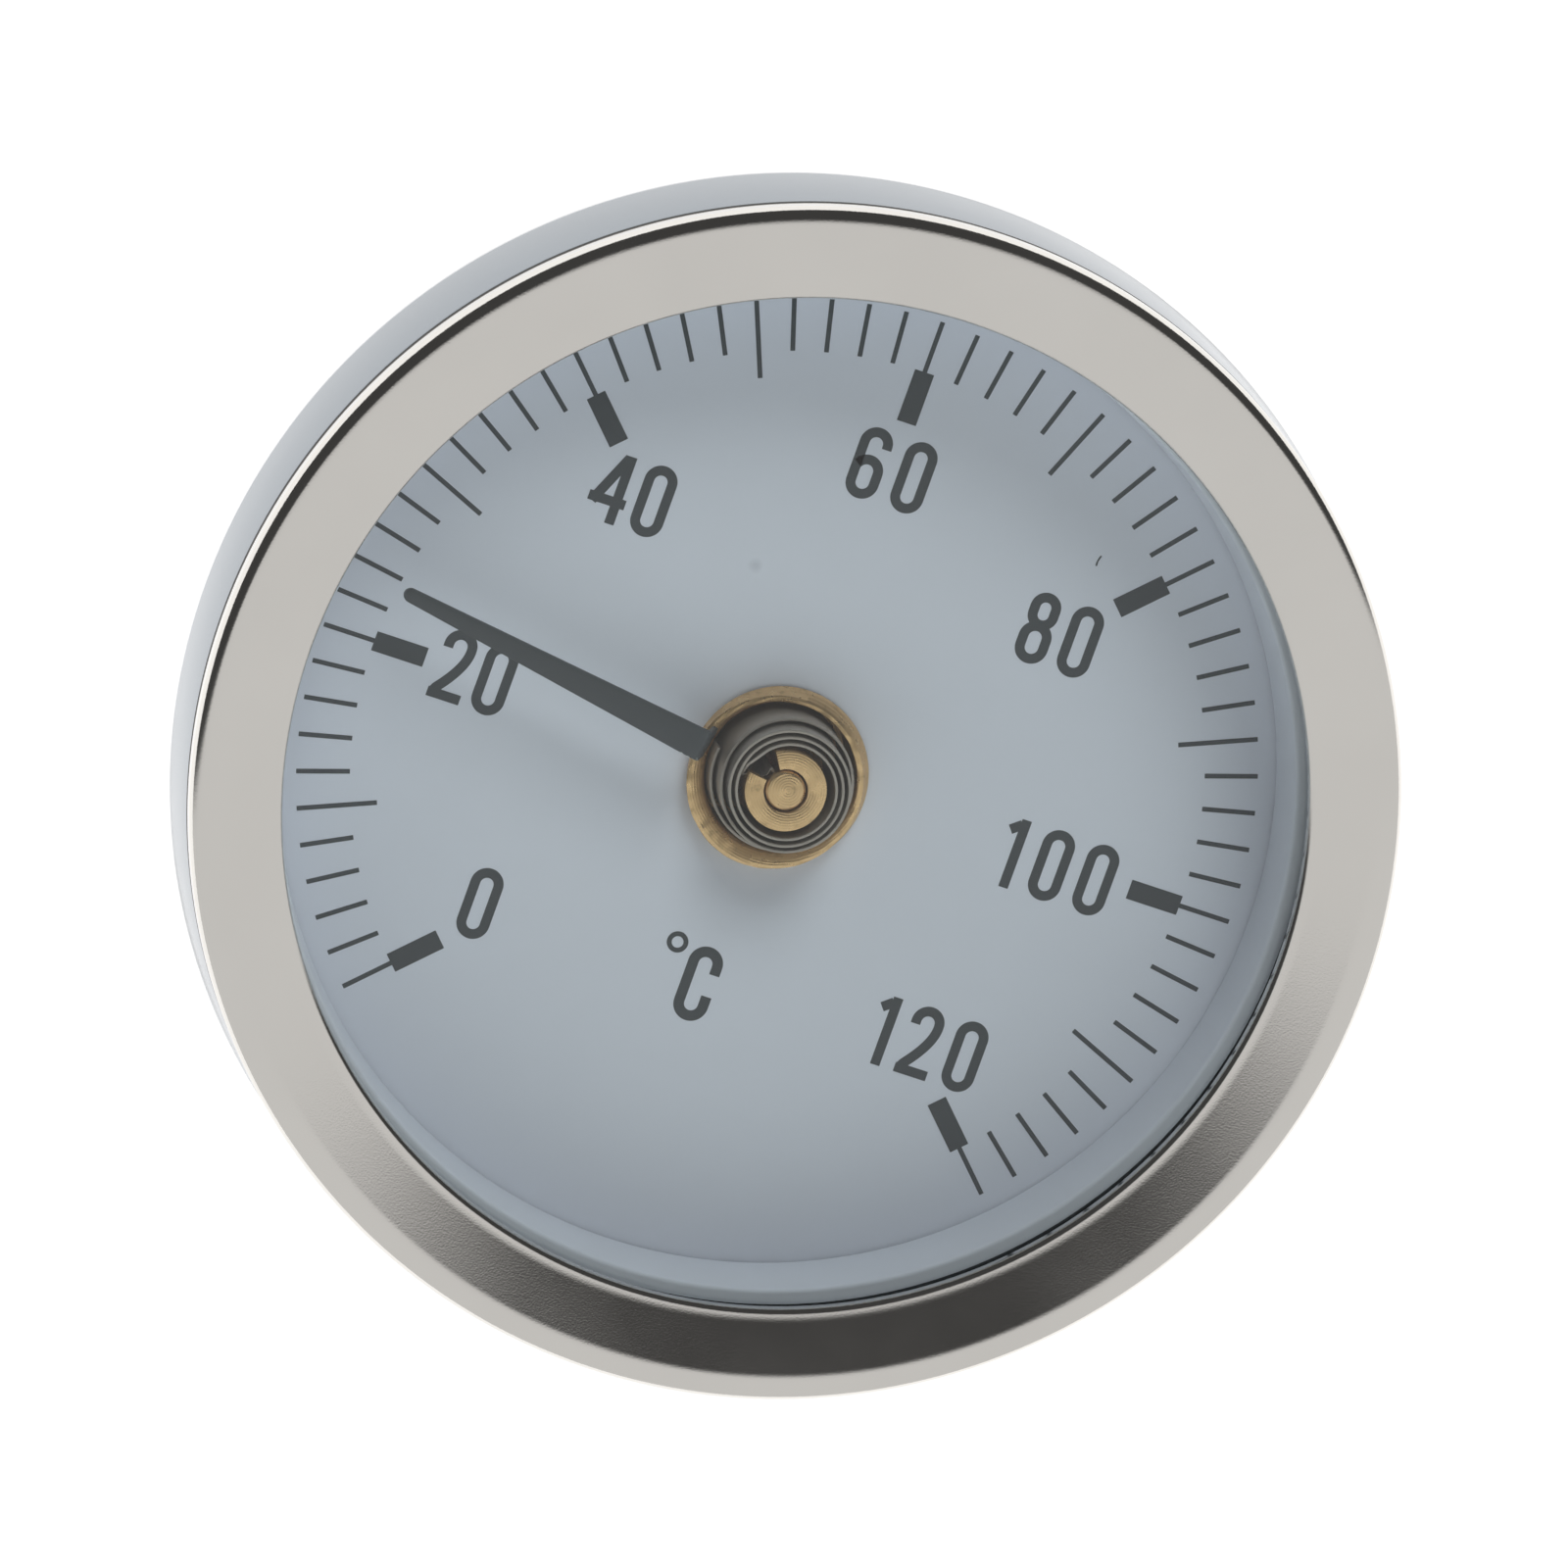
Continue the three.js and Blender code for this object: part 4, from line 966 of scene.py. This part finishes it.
class THERMOMETER_OT_pointer(bpy.types.Operator):
    """Tapered blade with a round tip, bent down at its hub end to meet the spiral"""

    bl_idname = "thermometer.pointer"
    bl_label = "Pointer"

    def execute(self, context):
        s = in_mm(context.scene.thermometer_hub)
        dial = in_mm(context.scene.thermometer_dial)
        angle = dial.start - dial.step * dial.reading
        top, foot = high("pointer"), low("pointer")
        level = top - s.pointer_sheet / 2
        hub_r, foot_r, tip_r = s.pointer_bend, s.pointer_foot, s.pointer_tip
        tip = s.tip_width / 2
        round_tip = np.radians(np.linspace(4, 90, 12))
        blade_r = np.concatenate([tip_r - tip + tip * np.cos(round_tip),
                                  np.linspace(tip_r - tip, hub_r - 0.1, 60)[1:]])
        width = np.concatenate([s.tip_width * np.sin(round_tip),
                                np.linspace(s.tip_width, s.hub_width, 60)[1:]])
        bend = curve_through((hub_r - 0.1, level), (hub_r - 0.2, level - 0.02),
                             (hub_r - 0.32, level - 0.28), 5)[1:]
        fall = np.linspace((hub_r - 0.32, level - 0.28), (foot_r, foot + 0.08), 12)[1:]
        line = np.vstack([np.column_stack([blade_r, np.full(len(blade_r), level)]), bend, fall])
        width = np.concatenate([width, np.full(len(bend) + len(fall), s.hub_width)])
        unit = rectangle(1.0, s.pointer_sheet, 0.05)
        section = np.broadcast_to(unit, (len(line), *unit.shape)).copy()
        section[..., 0] *= width[:, None]
        r, z = line.T
        path = np.column_stack([r * math.cos(angle), r * math.sin(angle), z])
        across = (-math.sin(angle), math.cos(angle), 0)
        up = np.cross(np.gradient(path, axis=0), across)
        up *= np.sign(up[0, 2]) if up[0, 2] else 1
        grid = carried(path, section, up)
        made = piece("pointer_blade", [grid], finish("black_paint"), "pointer",
                     body="pointer", sharp=50)
        side = np.abs(section[..., 0]) / (width[:, None] / 2 + 1e-6)
        near_hub = np.clip(1.2 - np.abs(r - s.chip_at) / 1.8, 0, 1)[:, None]
        worn = np.clip(side, 0, 1) ** 3 * near_hub * (section[..., 0] > 0)
        attribute = made.data.attributes.new("worn", "FLOAT", "POINT")
        attribute.data.foreach_set("value", worn.reshape(-1).astype(np.float32))
        return {"FINISHED"}


# ---------------------------------------------------------------- saddle, rivets and snap ring


class THERMOMETER_OT_saddle(bpy.types.Operator):
    """Bent saddle for the pipe, its two rivets and the snap ring on the brass shank"""

    bl_idname = "thermometer.saddle"
    bl_label = "Saddle"

    def execute(self, context):
        s = in_mm(context.scene.thermometer_saddle)
        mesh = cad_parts["pipe_saddle"].data.copy()
        shell = bmesh.new()
        shell.from_mesh(mesh)
        bmesh.ops.remove_doubles(shell, verts=shell.verts, dist=1e-6)
        bmesh.ops.dissolve_limit(shell, angle_limit=math.radians(0.5), verts=shell.verts,
                                 edges=shell.edges)
        shell.to_mesh(mesh)
        shell.free()
        mesh.materials.clear()
        for name in [a.name for a in mesh.attributes if a.name.startswith("UVMap")]:
            mesh.attributes.remove(mesh.attributes[name])
        made = add_piece("pipe_saddle_bent", mesh, finish("bright_zinc"),
                         "pipe_saddle", "case", 30, False)
        bevel = made.modifiers.new("edges", "BEVEL")
        bevel.width = s.edge * MM
        bevel.segments = 2
        bevel.limit_method = "ANGLE"
        bevel.angle_limit = math.radians(35)
        bevel.harden_normals = False

        web = low("snap_ring") + 0.7
        floor = low("case_shell") + 0.5
        for name in ("saddle_rivet_left", "saddle_rivet_right"):
            lowest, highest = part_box(name)
            x = (lowest[0] + highest[0]) / 2 / MM
            bottom, top = lowest[2] / MM, highest[2] / MM
            head = (highest[0] - lowest[0]) / 2 / MM
            dome = [(0, bottom), (head * 0.4, bottom + 0.06), (head * 0.75, bottom + 0.25),
                    (head, web - 0.15), (head - 0.02, web), (s.rivet_shank, web),
                    (s.rivet_shank, floor + 0.1),
                    (head, floor + 0.1), (head, top), (0, top)]
            points, *joins = turned(eased(dome, 0.3, 4, False), 48, False)
            piece(name + "_domed", [(points + (x, 0, 0), *joins)], finish("spring_steel"),
                  name, merge=True)

        bottom, top = low("snap_ring"), high("snap_ring")
        inner = in_mm(context.scene.thermometer_hub).groove + 0.1
        outer = reach("snap_ring")
        half = math.degrees(math.asin(s.ring_mouth / 2 / inner))
        path = at_height(arc(0, 0, (inner + outer) / 2, half, 360 - half, 96), (bottom + top) / 2)
        section = rectangle(outer - inner, top - bottom, 0.12)
        piece("snap_ring_blanked", [carried(path, section, (0, 0, 1))], finish("spring_steel"),
              "snap_ring")
        return {"FINISHED"}


# ---------------------------------------------------------------- spring and pull ring


class THERMOMETER_OT_spring(bpy.types.Operator):
    """Tension spring across the saddle's open side, and the wire ring that draws it"""

    bl_idname = "thermometer.spring"
    bl_label = "Spring"

    def execute(self, context):
        s = in_mm(context.scene.thermometer_saddle)
        lowest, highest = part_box("spring_pull_ring")
        axis = (lowest[2] + highest[2]) / 2 / MM
        face = reach_x("pipe_saddle")
        bar = lowest[0] / MM + s.ring_wire
        coil = face - s.sheet - s.coil_gap
        turns = 2 * coil / s.pitch
        t = np.linspace(0, turns, int(turns * 28))
        swell = np.minimum(1, np.minimum(t, turns - t))
        radius = s.coil * np.sin(swell * np.pi / 2)
        angle = 2 * np.pi * t
        along = -coil + s.pitch * t
        body = np.stack([along, radius * np.sin(angle), radius * np.cos(angle)], axis=1)
        anchor_x = -face - s.anchor_gap - s.wire
        anchor = eased([(anchor_x, 0, -s.anchor_drop), (anchor_x, 0, 0), (-coil, 0, 0)],
                       [0, 2 * s.wire, 0], 6, False)[:-1]
        straight = np.linspace(anchor[-1], (-coil, 0, 0), 8)[1:-1]
        hook = s.wire + s.ring_wire + 0.1
        curl = arc(bar, 0, hook, 150, -150, 20)
        curl = np.column_stack([curl[:, 0], np.zeros(len(curl)), curl[:, 1]])
        lead = np.linspace((coil, 0, 0), (bar - hook - 1.0, 0, 0), 8)[1:]
        swing = curve_through(lead[-1], (bar - hook - 0.3, 0, 0), curl[0], 5)[1:-1]
        lead = np.vstack([lead, swing])
        path = np.vstack([anchor, straight, body, lead, curl]) + (0, 0, axis)
        # the section's turn along the wire, so that it doesn't twist between hook and coil
        quarter = np.pi / 2
        last = 2 * np.pi * round(turns) + quarter
        phase = np.concatenate([
            np.full(len(anchor), quarter), np.linspace(quarter, 0, len(straight)), angle,
            np.linspace(angle[-1], last, len(lead)), np.full(len(curl), last),
        ])
        out = np.column_stack([0 * phase, np.sin(phase), np.cos(phase)])
        section = ring_section(s.wire, 10)
        grid = carried(path, section, out)
        made = piece("tension_spring_wound", [grid], finish("spring_steel"),
                     "tension_spring", body=None, sharp=60)
        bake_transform(made, "case", "pull_ring", start=(-coil * MM, 0, 0), end=(coil * MM, 0, 0))
        share = np.clip((grid[0][..., 0] + coil) / (2 * coil), 0, 1)
        set_share(made, share.reshape(-1))

        end, half = highest[0] / MM - s.ring_wire, highest[1] / MM - s.ring_wire
        loop = eased([(bar, -half), (end, -half), (end, half), (bar, half)], s.ring_corner, 10)
        grid = carried(at_height(loop, axis), ring_section(s.ring_wire, 16), (0, 0, 1), True)
        piece("spring_pull_ring_bent", [grid], finish("spring_steel"),
              "spring_pull_ring", body="pull_ring", sharp=60)
        return {"FINISHED"}


# ---------------------------------------------------------------- stage


class THERMOMETER_OT_stage(bpy.types.Operator):
    """Pale floor, one large soft light with a dark side, two lamps no metal mirrors, the camera"""

    bl_idname = "thermometer.stage"
    bl_label = "Stage"

    FLOOR_REACH = 3.0  # metres from the middle to each edge of the floor
    SIGHT = (0.01, 20)  # nearest and farthest that the camera sees, in metres
    SHIFT = (0.00345, -0.00657)  # how far the dial lies off the picture's middle, in widths
    LIGHT_FADE = (-0.11, 0.02)  # cosines to the dark side where the light starts and ends to fade

    def execute(self, context):
        s = in_mm(context.scene.thermometer_stage)
        scene = context.scene
        edge = self.FLOOR_REACH
        bottom = CAD_BOX[0][2]
        mesh = bpy.data.meshes.new("floor")
        mesh.from_pydata([(-edge, -edge, bottom), (edge, -edge, bottom), (edge, edge, bottom),
                          (-edge, edge, bottom)], [], [(0, 1, 2, 3)])
        material, tree, end, place = bare("backdrop_white")
        radius = add(tree, "ShaderNodeVectorMath", {0: place, 1: (0, 0, bottom)},
                     operation="DISTANCE")
        glow = add(tree, "ShaderNodeMapRange", {
            0: radius.outputs["Value"], 1: s.glow_inner * MM, 2: s.glow_outer * MM,
            3: 0.0, 4: s.floor_glow}, interpolation_type="SMOOTHSTEP")
        skin = add(tree, "ShaderNodeBsdfPrincipled", {
            "Base Color": linear("#f4f4f4"), "Roughness": 0.9,
            "Emission Color": (1, 1, 1, 1), "Emission Strength": glow.outputs[0]})
        tree.links.new(skin.outputs["BSDF"], end.inputs["Surface"])
        mesh.materials.append(material)
        floor = bpy.data.objects.new("floor", mesh)
        scene.collection.objects.link(floor)

        world = bpy.data.worlds.new("soft_light")
        scene.world = world
        world.use_nodes = True
        tree = world.node_tree
        tree.nodes.clear()
        end = add(tree, "ShaderNodeOutputWorld")
        way = add(tree, "ShaderNodeTexCoord").outputs["Generated"]
        shade_side = (math.cos(s.shade_side), math.sin(s.shade_side), 0)
        across = add(tree, "ShaderNodeVectorMath", {0: way, 1: shade_side},
                     operation="DOT_PRODUCT")
        fade_from, fade_to = self.LIGHT_FADE
        light = add(tree, "ShaderNodeMapRange", {
            0: across.outputs["Value"], 1: fade_from, 2: fade_to, 3: s.sky, 4: s.shade},
            interpolation_type="SMOOTHSTEP")
        back = add(tree, "ShaderNodeBackground", {"Strength": light.outputs[0]})
        tree.links.new(back.outputs[0], end.inputs["Surface"])

        lamps = (("key", s.key_side, s.key_rise, s.key_size, s.key_power),
                 ("fill", s.fill_side, s.fill_rise, s.fill_size, s.fill_power))
        for name, side, rise, spread, power in lamps:
            sun = bpy.data.lights.new(name, "SUN")
            sun.angle = spread
            sun.energy = power
            lamp = bpy.data.objects.new(name, sun)
            scene.collection.objects.link(lamp)
            lamp.rotation_euler = (0, math.pi / 2 - rise, side)
            lamp.visible_glossy = False

        lens = bpy.data.cameras.new("camera")
        camera = bpy.data.objects.new("camera", lens)
        scene.collection.objects.link(camera)
        scene.camera = camera
        lens.sensor_width = 36
        lens.lens = s.lens
        lens.shift_x, lens.shift_y = self.SHIFT
        lens.clip_start, lens.clip_end = self.SIGHT
        away = Vector((math.cos(s.azimuth) * math.cos(s.elevation),
                       math.sin(s.azimuth) * math.cos(s.elevation), math.sin(s.elevation)))
        up = Vector((math.cos(s.roll), math.sin(s.roll), 0))
        right = up.cross(away).normalized()
        over = away.cross(right)
        target = Vector((0, 0, high("dial_plate") * MM))
        camera.matrix_world = Matrix.Translation(target + away * s.distance * MM) @ Matrix(
            (right, over, away)).transposed().to_4x4()
        scene.view_settings.view_transform = "Standard"
        return {"FINISHED"}


OPERATORS = (
    THERMOMETER_OT_case,
    THERMOMETER_OT_bezel,
    THERMOMETER_OT_window,
    THERMOMETER_OT_dial,
    THERMOMETER_OT_cup,
    THERMOMETER_OT_spiral,
    THERMOMETER_OT_pointer,
    THERMOMETER_OT_saddle,
    THERMOMETER_OT_spring,
    THERMOMETER_OT_stage,
)


class THERMOMETER_PT_pieces(bpy.types.Panel):
    """Lists the pieces in the 3D view's sidebar"""

    bl_label = "Dial thermometer"
    bl_idname = "THERMOMETER_PT_pieces"
    bl_space_type = "VIEW_3D"
    bl_region_type = "UI"
    bl_category = "Thermometer"

    def draw(self, context):
        for operator in OPERATORS:
            self.layout.operator(operator.bl_idname)


GROUPS = {
    "thermometer_case": CaseSizes,
    "thermometer_dial": DialSizes,
    "thermometer_hub": HubSizes,
    "thermometer_saddle": SaddleSizes,
    "thermometer_colours": FinishColours,
    "thermometer_stage": StageSettings,
}


def register():
    """Registers the property groups, the operators and the panel."""
    for name, group in GROUPS.items():
        bpy.utils.register_class(group)
        setattr(bpy.types.Scene, name, bpy.props.PointerProperty(type=group))
    for operator in OPERATORS:
        bpy.utils.register_class(operator)
    bpy.utils.register_class(THERMOMETER_PT_pieces)


def unregister():
    """Takes everything that register added away again."""
    bpy.utils.unregister_class(THERMOMETER_PT_pieces)
    for operator in reversed(OPERATORS):
        bpy.utils.unregister_class(operator)
    for name, group in reversed(GROUPS.items()):
        delattr(bpy.types.Scene, name)
        bpy.utils.unregister_class(group)


def main():
    register()
    for operator in OPERATORS:
        family, name = operator.bl_idname.split(".")
        getattr(getattr(bpy.ops, family), name)()


if __name__ == "__main__":
    main()
